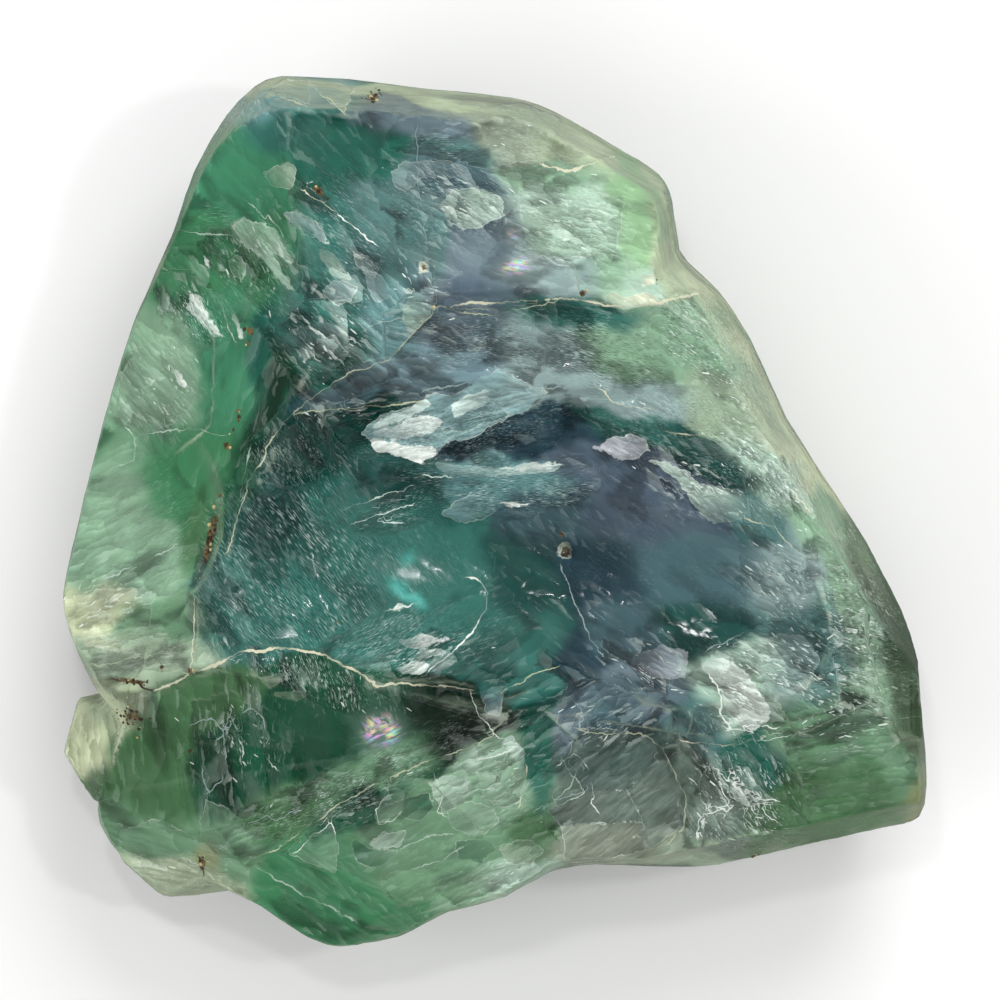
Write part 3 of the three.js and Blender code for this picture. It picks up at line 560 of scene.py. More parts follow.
def vectorMaths(tree, operation, *values):
    node = addNode(tree, "ShaderNodeVectorMath", dict(enumerate(values)), operation=operation)
    return node.outputs["Value" if operation == "DOT_PRODUCT" else "Vector"]


def scaled(tree, vector, amount):
    links = {0: vector, "Scale": amount}
    return addNode(tree, "ShaderNodeVectorMath", links, operation="SCALE").outputs["Vector"]


def combined(tree, x, y, z=0.0):
    return addNode(tree, "ShaderNodeCombineXYZ", {0: x, 1: y, 2: z}).outputs[0]


def separated(tree, vector):
    return addNode(tree, "ShaderNodeSeparateXYZ", {0: vector}).outputs


def ramp(tree, value, low, high, floor=0.0, ceiling=1.0):
    links = {"Value": value, "From Min": low, "From Max": high, "To Min": floor, "To Max": ceiling}
    return addNode(tree, "ShaderNodeMapRange", links, interpolation_type="SMOOTHSTEP").outputs["Result"]


def blendColour(tree, amount, first, second):
    return addNode(tree, "ShaderNodeMix", {0: amount, 6: first, 7: second}, data_type="RGBA").outputs[2]


def squeezed(tree, vector, length, width):
    # a flat map in which flakes of this size are one unit long and wide
    parts = [maths(tree, "DIVIDE", 1.0, size) for size in (length, width)]
    return vectorMaths(tree, "MULTIPLY", vector, combined(tree, *parts))


def flakeCells(tree, place):
    # the nearest flake's own lean, and the way from its middle
    cell = addNode(tree, "ShaderNodeTexVoronoi", {"Vector": place, "Scale": 1.0}, voronoi_dimensions="2D")
    lean = vectorMaths(tree, "SUBTRACT", cell.outputs["Color"], (0.5, 0.5, 0.5))
    return cell.outputs["Color"], lean, vectorMaths(tree, "SUBTRACT", place, cell.outputs["Position"])


def namedValue(tree, name, kind="FLOAT"):
    return addNode(tree, "GeometryNodeInputNamedAttribute", {"Name": name}, data_type=kind).outputs[0]


def attribute(tree, name):
    return addNode(tree, "ShaderNodeAttribute", attribute_name=name).outputs


def newTree(name, kind, inputs, outputs):
    # a node group with its inputs and outputs, given as name and type
    tree = bpy.data.node_groups.new(name, kind)
    for way, sockets in (("INPUT", inputs), ("OUTPUT", outputs)):
        for title, socket in sockets:
            tree.interface.new_socket(title, in_out=way, socket_type="NodeSocket" + socket)
    return tree, tree.nodes.new("NodeGroupInput").outputs, tree.nodes.new("NodeGroupOutput").inputs


def newMaterial(name):
    material = bpy.data.materials.new(name)
    material.use_nodes = True
    return material, material.node_tree, material.node_tree.nodes["Principled BSDF"].inputs


def setInputs(modifier, values):
    for item in modifier.node_group.interface.items_tree:
        if item.item_type == "SOCKET" and item.in_out == "INPUT" and item.name in values:
            modifier[item.identifier] = values[item.name]


def smoothStep(low, high, value):
    part = np.clip((value - low) / (high - low), 0, 1)
    return part * part * (3 - 2 * part)


def softNoise(points, size, seed):
    # smooth value noise from -1 to 1 on any number of axes
    grid = points / size + seed * noiseHash["shift"]
    cell = np.floor(grid).astype(np.int64)
    part = grid - cell
    part = part * part * (3 - 2 * part)
    axes = np.array(noiseHash["axes"])[: points.shape[1]]
    total = np.zeros(len(points))
    for corner in itertools.product((0, 1), repeat=points.shape[1]):
        key = ((cell + corner) * axes).sum(1) + seed * noiseHash["seedStep"]
        key = (key ^ (key >> 13)) * noiseHash["spread"]
        value = ((key ^ (key >> 16)) & 65535) / 32767.5 - 1
        total += value * np.prod(np.where(np.array(corner) == 1, part, 1 - part), axis=1)
    return total


def waver(points, setting):
    size, reach, seeds = setting
    return np.stack([softNoise(points, size, seed) for seed in seeds], 1) * reach


def layered(points, layers):
    return sum(strength * softNoise(points, size, seed) for strength, size, seed in layers)


def pixelsOf(points):
    depth = photo["level"] + photo["cameraHeight"] - points[:, 2]
    scale = photo["cameraHeight"] / depth / photo["pixel"]
    x = photo["middle"][0] + (points[:, 0] - photo["lookAt"][0]) * scale
    y = photo["middle"][1] - (points[:, 1] - photo["lookAt"][1]) * scale
    return np.stack([x, y], 1)


def patchWeight(pixels, x, y, halfX, halfY, turn):
    # 1 in the middle of an oval patch, fading out beyond its edge
    angle = math.radians(turn)
    away = pixels - (x, y)
    along = (away[:, 0] * math.cos(angle) + away[:, 1] * math.sin(angle)) / halfX
    across = (away[:, 1] * math.cos(angle) - away[:, 0] * math.sin(angle)) / halfY
    return np.exp(-(along * along + across * across))


def pathDistance(pixels, path):
    # distance to a path, the side of it (-1 or 1), and how far the point lies beyond its ends
    best = np.full(len(pixels), np.inf)
    side = np.ones(len(pixels))
    beyond = np.zeros(len(pixels))
    for number, (start, end) in enumerate(zip(path[:-1], path[1:])):
        start, end = np.array(start, float), np.array(end, float)
        way = end - start
        length = float(np.hypot(*way))
        away = pixels - start
        along = (away @ way) / length
        distance = np.linalg.norm(away - np.clip(along, 0, length)[:, None] * way / length, axis=1)
        wins = distance < best
        best = np.where(wins, distance, best)
        side = np.where(wins, np.where(way[0] * away[:, 1] > way[1] * away[:, 0], 1.0, -1.0), side)
        over = np.maximum(-along, 0) * (number == 0) + np.maximum(along - length, 0) * (number == len(path) - 2)
        beyond = np.where(wins, over, beyond)
    return best, side, beyond


def insideOutline(pixels, outline):
    inside = np.zeros(len(pixels), bool)
    for (ax, ay), (bx, by) in zip(outline, outline[1:] + outline[:1]):
        if ay != by:
            crosses = (ay > pixels[:, 1]) != (by > pixels[:, 1])
            inside ^= crosses & (pixels[:, 0] < (bx - ax) * (pixels[:, 1] - ay) / (by - ay) + ax)
    return inside


def linkObject(name, data):
    thing = bpy.data.objects.new(name, data)
    bpy.context.scene.collection.objects.link(thing)
    return thing


def plainMesh(source, name):
    # the object with its modifiers as a new plain mesh object at the origin; the old one goes
    evaluated = source.evaluated_get(bpy.context.evaluated_depsgraph_get())
    mesh = bpy.data.meshes.new_from_object(evaluated)
    mesh.name = name
    piece = linkObject(name, mesh)
    old = source.data
    bpy.data.objects.remove(source)
    bpy.data.meshes.remove(old)
    return piece


def vertexArrays(mesh):
    points = np.empty(len(mesh.vertices) * 3)
    mesh.vertices.foreach_get("co", points)
    normals = np.empty(len(mesh.vertices) * 3)
    mesh.vertex_normals.foreach_get("vector", normals)
    return points.reshape(-1, 3), normals.reshape(-1, 3)


def keepOnMesh(mesh, name, kind, field, values):
    layer = mesh.attributes.get(name) or mesh.attributes.new(name, kind, "POINT")
    layer.data.foreach_set(field, np.ascontiguousarray(values, np.float32).ravel())


def keepColour(mesh, name, *columns):
    # three columns of colour or masks and one of alpha, 1 where none is given
    values = np.column_stack(columns)
    if values.shape[1] == 3:
        values = np.column_stack([values, np.ones(len(values))])
    keepOnMesh(mesh, name, "FLOAT_COLOR", "color", values)


def edgeWear(mesh, points, normals):
    # how far each point stands out from its neighbours, in mm: above zero on ridges
    edges = np.empty(len(mesh.edges) * 2, np.int32)
    mesh.edges.foreach_get("vertices", edges)
    first, second = edges.reshape(-1, 2).T

    def gathered(values):
        return np.bincount(first, values[second], len(values)) + np.bincount(second, values[first], len(values))

    count = gathered(np.ones(len(points)))
    middle = np.stack([gathered(points[:, axis]) for axis in range(3)], 1) / count[:, None]
    wear = ((points - middle) * normals).sum(1) * 1000
    for _ in range(marking["wearSmoothing"]):  # evens out the mesh pattern
        wear = marking["wearKept"] * wear + (1 - marking["wearKept"]) * gathered(wear) / count
    return wear


def readSurface(mesh):
    # what all marks need: places in mm and photo pixels, wavering of edges, and what the photo shows
    points, normals = vertexArrays(mesh)
    face = types.SimpleNamespace(mesh=mesh, points=points, normals=normals, count=len(points))
    face.millimetres = points * 1000
    face.seen = smoothStep(*marking["seenSlope"], normals[:, 2])
    face.seen = face.seen * smoothStep(*marking["seenHeight"], face.millimetres[:, 2])
    face.facing = smoothStep(*marking["facingSlope"], normals[:, 2])
    face.pixels = pixelsOf(points)
    face.warp = waver(face.pixels, marking["wideWarp"]) + waver(face.pixels, marking["narrowWarp"])
    face.moved = face.pixels + waver(face.pixels, marking["fineWarp"])
    face.lift = np.zeros(face.count)  # mm
    return face


def patches(face, spots, warp, top=1.0):
    amount = np.zeros(face.count)
    for *spot, strength in spots:
        amount = np.maximum(amount, patchWeight(face.pixels + face.warp * warp, *spot) * strength)
    return np.clip(amount * top, 0, 1) * face.seen


def markStrokes(face):
    # the nearest patch gives the slope of strokes and flakes
    first = np.full(face.count, marking["farZone"])
    second, face.slope, mask = (np.zeros(face.count) for _ in range(3))
    scale = np.ones(face.count)
    smallest, spread = marking["flakeScale"]
    for number, (*spot, strength, angle) in enumerate(strokes):
        weight = patchWeight(face.pixels + face.warp, *spot)
        wins = weight > first
        second = np.where(wins, first, np.maximum(second, weight))
        first = np.where(wins, weight, first)
        face.slope = np.where(wins, math.radians(angle), face.slope)
        mask = np.where(wins, strength, mask)
        scale = np.where(wins, smallest + spread * (number * marking["scaleStep"] % 1.0), scale)
    clear = smoothStep(0.0, marking["strokeGap"], (first - second) / first)
    face.stroke = np.clip(first * marking["strokeTop"], 0, 1) * mask * clear * face.seen

    # flat map of the surface in mm, walls folded out, turned so that the strokes run along its first axis
    steep = 1 - smoothStep(*marking["foldSlope"], face.normals[:, 2:])
    below = cadBox[1][2] * 1000 - face.millimetres[:, 2:]
    flat = face.millimetres[:, :2] + face.normals[:, :2] * steep * below
    x, y = (flat + waver(flat, marking["flakeBend"])).T
    across, along = np.sin(face.slope), np.cos(face.slope)
    face.flow = np.stack([x * along - y * across, x * across + y * along], 1) * scale[:, None]
    if "flow" not in face.mesh.attributes:  # the first map stays, so that relief and finish agree
        flow = np.column_stack([face.flow, np.zeros(face.count)])
        keepOnMesh(face.mesh, "flow", "FLOAT_VECTOR", "vector", flow)


def markBody(face):
    total = np.full(face.count, 1e-9)
    tint = np.zeros((face.count, 3))
    # on the walls the colours wander with the height
    drift = waver(face.millimetres, marking["wallDrift"]) * (1 - face.facing)[:, None]
    for name, *spot in zones:
        weight = patchWeight(face.pixels + face.warp + drift, *spot)
        weight = weight * weight + marking["farZone"] * weight
        total += weight
        tint += weight[:, None] * np.array(palette[name])
    tint /= total[:, None]
    grey = tint @ marking["greyShares"]
    tint = np.clip(grey[:, None] + (tint - grey[:, None]) * marking["richness"], 0, 1)
    tint *= ((grey / marking["middleGrey"]) ** marking["contrast"])[:, None]

    # clouds, dark pockets and pale veils inside the stone
    still, facing = face.still, face.facing
    cloud = layered(face.millimetres, marking["clouds"][:1])
    cloud = cloud + (1 - marking["calmCloud"] * still) * layered(face.millimetres, marking["clouds"][1:])
    face.wisp = layered(face.flow * marking["wispStretch"], marking["wisps"])
    pocket = smoothStep(0.15, 0.75, -face.wisp) * (1 - marking["calmPocket"] * still)
    pocket = pocket * (marking["wallPocket"] + (1 - marking["wallPocket"]) * facing)
    plain, frosty = marking["veilCover"]
    veil = smoothStep(0.35, 0.85, face.wisp) * (plain + frosty * face.frost)
    veil = veil * (1 - marking["calmVeil"] * still) * facing
    tint = tint * ((1 + cloud) * (1 - marking["pocketDark"] * pocket))[:, None]
    tint = tint + (np.array(marking["veilColour"]) - tint) * veil[:, None]
    # ground, frosted walls round the outline
    rimCloud = smoothStep(-0.6, 0.6, layered(face.millimetres, marking["rimClouds"]))
    rubbed = (1 - facing) * (marking["rimPart"] + (1 - marking["rimPart"]) * rimCloud) * marking["rimFrost"]
    # painted shade: no frost on the right wall, so it keeps its dark colour
    rubbed = rubbed * (1 - marking["shadedWallShare"] * patchWeight(face.pixels, *marking["shadedWall"]))
    tint = tint + (np.array(marking["rimColour"]) - tint) * rubbed[:, None]
    keepColour(face.mesh, "bodyTint", tint)


def within(face, corners):
    reach = marking["reach"]
    inside = (face.moved > corners.min(0) - reach) & (face.moved < corners.max(0) + reach)
    return np.flatnonzero(inside.all(1))


def layPlates(face, name, outlines, turner):
    # colour and cover of each plate go to the mesh; returns the distance inside its rim, mm
    rim = np.full(face.count, -9.0)
    tint = np.zeros((face.count, 3))
    cover = np.zeros(face.count)
    for colour, strength, rise, outline in outlines:
        corners = np.array(outline, float)
        angle = turner.uniform(0, 2 * math.pi)
        near = within(face, corners)
        spots = face.moved[near]
        distance = pathDistance(spots, outline + outline[:1])[0] * photoScale
        distance = np.where(insideOutline(spots, outline), distance, -distance)
        slant = (spots - corners.mean(0)) @ (math.cos(angle), math.sin(angle)) / np.ptp(corners, axis=0).mean()
        wins = distance > rim[near]
        here = near[wins]
        rim[here] = distance[wins]
        # painted shade: each plate is lighter on the side it tilts up and darker on the other
        tint[here] = np.array(palette[colour]) * (1 + plateLook["shade"] * slant[wins])[:, None]
        full = smoothStep(*plateLook["fullCover"], strength)
        part = smoothStep(*plateLook["slantFade"], slant[wins])
        part = plateLook["leastCover"] + (1 - plateLook["leastCover"]) * part
        cover[here] = strength * (full + (1 - full) * part)
        step = smoothStep(-plateLook["edge"], plateLook["edge"], distance)
        raised = step * rise * (plateLook["rise"] + plateLook["tilt"] * slant)
        face.lift[near] = np.maximum(face.lift[near], raised)
    cloudy = plateLook["wispCover"] + (1 - plateLook["wispCover"]) * smoothStep(-0.4, 0.4, face.wisp)
    keepColour(face.mesh, name, np.clip(tint, 0, 1), cover * face.seen * cloudy)
    return np.clip(rim, -2, 2)


def layCracks(face, mottle):
    # which side of the path a point is on keeps thin lines whole between the mesh points
    gap = np.full(face.count, 9.0)
    side, ends = np.zeros(face.count), np.zeros(face.count)
    half = np.full(face.count, 0.05)
    tint = np.zeros((face.count, 3))
    for name, width, groove, path in cracks:
        near = within(face, np.array(path, float))
        distance, turn, beyond = pathDistance(face.moved[near], path)
        distance = distance * photoScale
        face.lift[near] -= groove * np.exp(-((distance / (crackLook["grooveEdge"] + width / 2)) ** 2))
        wins = distance < gap[near]
        here = near[wins]
        gap[here] = distance[wins]
        side[here] = turn[wins]
        half[here] = width * crackLook["width"] / 2
        ends[here] = 1 - smoothStep(0.0, crackLook["endFade"], beyond[wins] * photoScale)
        tint[here] = palette[name]
    least = crackLook["leastShown"]
    shown = face.seen * ends * (1 - smoothStep(*crackLook["sideFade"], gap))
    shown = shown * (least + (1 - least) * smoothStep(*crackLook["breaks"], mottle))
    keepColour(face.mesh, "crackTint", tint, shown)
    return np.clip(gap, 0, 2) * side, half


def markStone(mesh):
    # writes the colour zones, plates, cracks, frost, strokes, flakes and grit to the mesh
    face = readSurface(mesh)
    face.frost = patches(face, frosted, marking["patchWarp"], marking["frostTop"])
    face.still = patches(face, calm, marking["patchWarp"])
    markStrokes(face)
    markBody(face)
    turner = np.random.default_rng(marking["seed"])
    plateRim = layPlates(face, "plateTint", plates, turner)
    shardRim = layPlates(face, "shardTint", shards, turner)
    mottle = 0.5 + layered(face.millimetres, marking["mottles"])
    crackGap, crackHalf = layCracks(face, mottle)
    stain = patches(face, grit, 0)
    facet = (0.5 + 0.5 * face.frost) * (1 - face.still)
    facet = facet * (marking["wallFacet"] + (1 - marking["wallFacet"]) * face.facing)
    facet = facet * face.seen + (1 - face.seen) * marking["backFacet"]
    wear = np.clip(edgeWear(mesh, face.points, face.normals), -0.2, 0.2)
    keepColour(mesh, "edges", plateRim, crackGap, mottle, patches(face, rainbows, marking["rainbowWarp"]))
    keepColour(mesh, "masks", face.frost, face.stroke, facet, stain)
    keepColour(mesh, "touches", wear, shardRim, crackHalf)
    rest = stoneShape["restHeight"]
    values = {
        "frost": face.frost * face.facing * face.facing, "stroke": face.stroke, "facet": facet, "grit": stain,
        "slope": face.slope, "lift": face.lift * face.seen, "still": face.still,
        "loose": smoothStep(rest, rest * 3, face.points[:, 2]),
    }
    for name, amounts in values.items():
        keepOnMesh(mesh, name, "FLOAT", "value", amounts)


def reliefTree():
    # moves each point along its normal: soft waves, torn steps, crumbs, flakes and the marked lift
    inputs = [("Geometry", "Geometry")] + [(name, "Float") for name in relief]
    tree, given, result = newTree("stoneRelief", "GeometryNodeTree", inputs, [("Geometry", "Geometry")])
    place = scaled(tree, tree.nodes.new("GeometryNodeInputPosition").outputs[0], 1000)  # millimetres
    flow = namedValue(tree, "flow", "FLOAT_VECTOR")
    frost = namedValue(tree, "frost")

    def noise(size, stretch, detail, rough):
        links = {"Vector": vectorMaths(tree, "MULTIPLY", place, stretch), "Detail": detail, "Roughness": rough,
                 "Scale": maths(tree, "DIVIDE", 1.0, given[size])}
        return minus(tree, addNode(tree, "ShaderNodeTexNoise", links).outputs[0], 0.5)

    def facets(name, mask):
        # the flakes of the finish, each leaning its own way, with steps between them
        length, width, slope = (given[name + part] for part in (" Length", " Width", " Slope"))
        _, lean, away = flakeCells(tree, squeezed(tree, flow, length, width))
        height = vectorMaths(tree, "DOT_PRODUCT", vectorMaths(tree, "ADD", lean, (0.1, 0.25, 0.0)), away)
        return times(tree, height, slope, width, mask, 0.001)

    wave = times(tree, noise("Wave Size", (1, 1, 1), 2.0, 0.5), given["Wave Height"])
    torn = noise("Step Size", (0.35, 1.0, 1.0), 4.0, 0.6)
    snapped = maths(tree, "SNAP", torn, given["Step Part"])
    steps = plus(tree, snapped, times(tree, minus(tree, torn, snapped), given["Step Slope"]))
    steps = times(tree, steps, given["Step Height"], plus(tree, namedValue(tree, "stroke"), frost, 0.35))
    crumb = noise("Crumb Size", (1, 1, 1), 3.0, 0.65)
    crumb = times(tree, crumb, given["Crumb Height"], plus(tree, frost, 0.12))
    rough = minus(tree, 1.0, times(tree, namedValue(tree, "still"), 0.8))
    broken = times(tree, plus(tree, steps, crumb), rough)
    lift = times(tree, namedValue(tree, "lift"), 0.001)
    total = plus(tree, wave, broken, lift, facets("Flake", namedValue(tree, "facet")), facets("Chip", frost))
    total = times(tree, total, namedValue(tree, "loose"))
    offset = scaled(tree, tree.nodes.new("GeometryNodeInputNormal").outputs[0], total)
    moved = addNode(tree, "GeometryNodeSetPosition", {"Geometry": given["Geometry"], "Offset": offset})
    tree.links.new(moved.outputs[0], result[0])
    return tree


def shapeStone():
    work = linkObject("stoneWork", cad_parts["fluorite"].data.copy())
    form = bmesh.new()
    form.from_mesh(work.data)
    bmesh.ops.remove_doubles(form, verts=form.verts, dist=1e-6)
    form.to_mesh(work.data)
    form.free()
    remesh = work.modifiers.new("remesh", "REMESH")
    remesh.mode = "VOXEL"
    remesh.voxel_size = stoneShape["voxel"]
    smooth = work.modifiers.new("smooth", "SMOOTH")
    smooth.factor = stoneShape["smoothAmount"]
    smooth.iterations = stoneShape["smoothing"]
    fine = plainMesh(work, "stoneFine")
    print("stone remeshed:", len(fine.data.polygons), "faces")

    markStone(fine.data)
    push = fine.modifiers.new("relief", "NODES")
    push.node_group = reliefTree()
    setInputs(push, relief)
    raised = plainMesh(fine, "stoneRaised")

    # thin the walls and underside, which the photo doesn't show
    hidden = 1 - smoothStep(*stoneShape["hiddenSlope"], vertexArrays(raised.data)[1][:, 2])
    group = raised.vertex_groups.new(name="hidden")
    for i in np.flatnonzero(hidden > 0.01):
        group.add([int(i)], float(hidden[i]), "REPLACE")
    thin = raised.modifiers.new("thin", "DECIMATE")
    thin.vertex_group = "hidden"
    thin.ratio = 1 - (1 - stoneShape["underShare"]) * float(hidden.mean())
    thin.use_collapse_triangulate = True
    stone = plainMesh(raised, "stone")
    stone.vertex_groups.clear()
    for polygon in stone.data.polygons:
        polygon.use_smooth = True
    markStone(stone.data)
    print("stone shaped:", len(stone.data.polygons), "triangles")
    return stone


stoneFinish = {
    "transmission": 0.25,
    "ior": 1.434,
    "specular": 0.40,
    "depthColour": (0.30, 0.80, 0.58, 1.0),
    "depthDensity": 90.0,
    "gain": 1.34,
    "gloss": (0.12, 0.45),  # roughness of smooth and of dull faces
    "raggedScale": (0.9, 0.9, 0.9),
    "strokeScale": (1 / 0.65, 1 / 0.07, 0.0),  # strokes 0.65 mm long and 0.07 mm wide
    "grainScale": (0.35, 2.0, 0.0),
    "jag": (0.9, -0.6, 0.0),  # how far ragged noise moves the flakes' edges, mm
    "rimJag": 0.16,
    # pale line on the plates' broken rims, partly painted highlight
    "rimHighlightLine": 0.08,
    "rimColour": (0.66, 0.74, 0.66, 1.0),
    "satin": (0.78, 1.22),
    "flakeShade": 0.34,  # how far the painted shade across a flake goes from dark to light
    "filmAndHighlightColour": (0.76, 0.86, 0.79, 1.0),
    "film": (0.35, 0.55, 0.80),  # cover of the pale film on flakes, split flakes and chips, partly painted highlight on their lit ends
    "lean": (0.35, 0.40, 0.50),
    # painted shade in the furrows of the strokes, and their pale lines, partly painted glint
    "plainFilm": 0.35,  # share of it where there is no frost
    "furrow": 0.55,
    "etchAndGlintColour": (0.60, 0.74, 0.69, 1.0),
    "lineCover": 0.5,
    "wear": (0.024, 0.060),  # mm
    "wornCover": 0.35,
    "wornColour": (0.52, 0.58, 0.47, 1.0),
    "crackJag": 0.12,
    "hazeColour": (0.32, 0.40, 0.38, 1.0),  # under the split light
    "hazeCover": 0.45,
    "spectrum": (0.5, 0.85),  # strength and value of its colours
    "rustCover": 0.9,
}


def flakeGroup():
    # flat flakes along the first axis: painted shade rises from dark to light across each flake, pick and lean
    # differ from flake to flake
    tree, given, result = newTree("cleavageFlakes", "ShaderNodeTree",
                                  [("Vector", "Vector"), ("Length", "Float"), ("Width", "Float")],
                                  [("Painted Shade", "Float"), ("Pick", "Float"), ("Lean", "Vector")])
    colour, lean, away = flakeCells(tree, squeezed(tree, given["Vector"], given["Length"], given["Width"]))
    rise = vectorMaths(tree, "ADD", vectorMaths(tree, "MULTIPLY", lean, (1.6, 1.2, 0.0)), (0.2, 0.7, 0.0))
    tree.links.new(vectorMaths(tree, "DOT_PRODUCT", away, rise), result["Painted Shade"])
    tree.links.new(separated(tree, colour)[0], result["Pick"])
    tree.links.new(lean, result["Lean"])
    return tree


def stoneMaterial():
    finish = stoneFinish
    material, tree, glass = newMaterial("fluorite")
    place = scaled(tree, tree.nodes.new("ShaderNodeTexCoord").outputs["Object"], 1000)  # millimetres
    group = flakeGroup()

    def parts(name):
        made = attribute(tree, name)
        return (*separated(tree, made["Vector"]), made["Alpha"])

    def flakes(where, size):
        links = {"Vector": where, "Length": size[0], "Width": size[1]}
        return addNode(tree, "ShaderNodeGroup", links, node_tree=group).outputs

    def noise(where, scale, detail):
        links = {"Vector": vectorMaths(tree, "MULTIPLY", where, scale), "Scale": 1.0, "Detail": detail,
                 "Roughness": 0.6}
        return addNode(tree, "ShaderNodeTexNoise", links, noise_dimensions="2D").outputs[0]

    def jagged(value, reach):
        return plus(tree, value, ramp(tree, ragged, 0.25, 0.75, -reach, reach))

    crack = attribute(tree, "crackTint")
    flow = attribute(tree, "flow")["Vector"]
    plateRim, crackGap, mottle, rainbow = parts("edges")
    frost, stroke, facet, gritMask = parts("masks")
    wear, shardRim, crackHalf, _ = parts("touches")
    ragged = noise(place, finish["raggedScale"], 2.5)
    streak = noise(flow, finish["strokeScale"], 1.0)
    grain = noise(flow, finish["grainScale"], 2.0)
    jag = vectorMaths(tree, "ADD", flow, scaled(tree, finish["jag"], minus(tree, ragged, 0.5)))
    flake, split, chip = (flakes(jag, stoneShape[name]) for name in ("flakeSize", "splitSize", "chipSize"))

    # plates with broken rims, and the small faces on them
    colour = attribute(tree, "bodyTint")["Color"]
    for name, inside in (("plateTint", plateRim), ("shardTint", shardRim)):
        plate = attribute(tree, name)
        rim = jagged(inside, finish["rimJag"])
        cover = times(tree, ramp(tree, rim, -0.03, 0.06), plate["Alpha"])
        satin = scaled(tree, plate["Color"], ramp(tree, grain, 0.30, 0.70, *finish["satin"]))
        colour = blendColour(tree, cover, colour, satin)
        # pale line on the broken rim, partly painted highlight
        edge = ramp(tree, maths(tree, "ABSOLUTE", rim), 0.0, finish["rimHighlightLine"], 1.0, 0.0)
        edge = times(tree, edge, plate["Alpha"], ramp(tree, mottle, 0.36, 0.62, 0.12, 0.9))
        colour = blendColour(tree, edge, colour, finish["rimColour"])
    shardCover = cover

    # large flakes, some of them split, some of those broken to chips: each is painted from shade to light across it,
    # and some carry a pale film on the lit end, partly the frost's whiteness and partly painted highlight, that ends
    # sharply at the flake's edge
    splitMask = times(tree, facet, ramp(tree, flake["Pick"], 0.30, 0.45))
    chipMask = times(tree, frost, ramp(tree, split["Pick"], 0.35, 0.50))
    tilted = tree.nodes.new("ShaderNodeNewGeometry").outputs["Normal"]
    fields = zip((flake, split, chip), (facet, splitMask, chipMask), finish["film"], finish["lean"])
    for field, mask, film, lean in fields:
        # painted shade: dark at one end of each flake, light at the other
        paintedShade = ramp(tree, field["Painted Shade"], -0.5, 0.5, 1 - finish["flakeShade"], 1 + finish["flakeShade"])
        paintedShade = addNode(tree, "ShaderNodeMix", {0: mask, 2: 1.0, 3: paintedShade}, data_type="FLOAT").outputs[0]
        # pale film on the lit end: partly frost white, partly painted highlight
        pale = times(tree, ramp(tree, field["Painted Shade"], 0.12, 0.26), ramp(tree, field["Pick"], 0.50, 0.75), mask,
                     ramp(tree, frost, 0.0, 0.8, film * finish["plainFilm"], film))
        colour = blendColour(tree, pale, scaled(tree, colour, paintedShade), finish["filmAndHighlightColour"])
        tilted = vectorMaths(tree, "ADD", tilted, scaled(tree, field["Lean"], times(tree, mask, lean)))

    # etched strokes: pale lines, partly painted glint, and painted shade in the furrows
    lines = plus(tree, streak, times(tree, minus(tree, grain, 0.5), 0.4))
    lines = times(tree, ramp(tree, lines, 0.58, 0.72), stroke, ramp(tree, mottle, 0.40, 0.62, 0.25, 1.0))
    furrowShade = times(tree, ramp(tree, streak, 0.48, 0.34), stroke)
    colour = scaled(tree, colour, ramp(tree, furrowShade, 0.0, 1.0, 1.0, finish["furrow"]))
    colour = blendColour(tree, times(tree, lines, finish["lineCover"]), colour, finish["etchAndGlintColour"])

    # worn ridges
    worn = times(tree, ramp(tree, wear, *finish["wear"]), ramp(tree, mottle, 0.35, 0.65, 0.0, finish["wornCover"]))
    colour = blendColour(tree, worn, colour, finish["wornColour"])

    # cracks
    gap = maths(tree, "ABSOLUTE", jagged(crackGap, finish["crackJag"]))
    gap = minus(tree, gap, times(tree, crackHalf, ramp(tree, mottle, 0.3, 0.7, 0.5, 1.4)))
    line = times(tree, ramp(tree, gap, -0.02, 0.04, 1.0, 0.0), crack["Alpha"])
    colour = blendColour(tree, line, colour, crack["Color"])

    # split light
    hue = maths(tree, "FRACT", plus(tree, times(tree, ragged, 2.0), times(tree, split["Pick"], 2.0)))
    strength, value = finish["spectrum"]
    spectrum = addNode(tree, "ShaderNodeCombineColor", {0: hue, 1: strength, 2: value}, mode="HSV").outputs[0]
    colour = blendColour(tree, times(tree, rainbow, finish["hazeCover"]), colour, finish["hazeColour"])
    sparks = times(tree, ramp(tree, rainbow, 0.25, 0.9), ramp(tree, grain, 0.40, 0.62))
    colour = blendColour(tree, sparks, colour, spectrum)

    # rust in the pits
    stain = ramp(tree, plus(tree, gritMask, times(tree, ragged, 0.4)), 0.50, 0.80, 0.0, finish["rustCover"])
    rust = blendColour(tree, ramp(tree, chip["Pick"], 0.4, 0.6), (*palette["umber"], 1), (*palette["rust"], 1))
    colour = blendColour(tree, stain, colour, rust)

    # gloss differs from flake to flake
    dull = [times(tree, amount, share) for amount, share in ((frost, 0.6), (shardCover, 0.5), (flake["Pick"], 0.4))]
    dull = maths(tree, "MAXIMUM", maths(tree, "MAXIMUM", dull[0], dull[1]), maths(tree, "MAXIMUM", line, dull[2]))
    tree.links.new(ramp(tree, dull, 0.0, 1.0, *finish["gloss"]), glass["Roughness"])
    tree.links.new(scaled(tree, colour, finish["gain"]), glass["Base Color"])
    tree.links.new(vectorMaths(tree, "NORMALIZE", tilted), glass["Normal"])
    glass["IOR"].default_value = finish["ior"]
    glass["Specular IOR Level"].default_value = finish["specular"]
    glass["Transmission Weight"].default_value = finish["transmission"]
    links = {"Color": finish["depthColour"], "Density": finish["depthDensity"]}
    depth = addNode(tree, "ShaderNodeVolumeAbsorption", links)
    tree.links.new(depth.outputs[0], tree.nodes["Material Output"].inputs["Volume"])
    return material


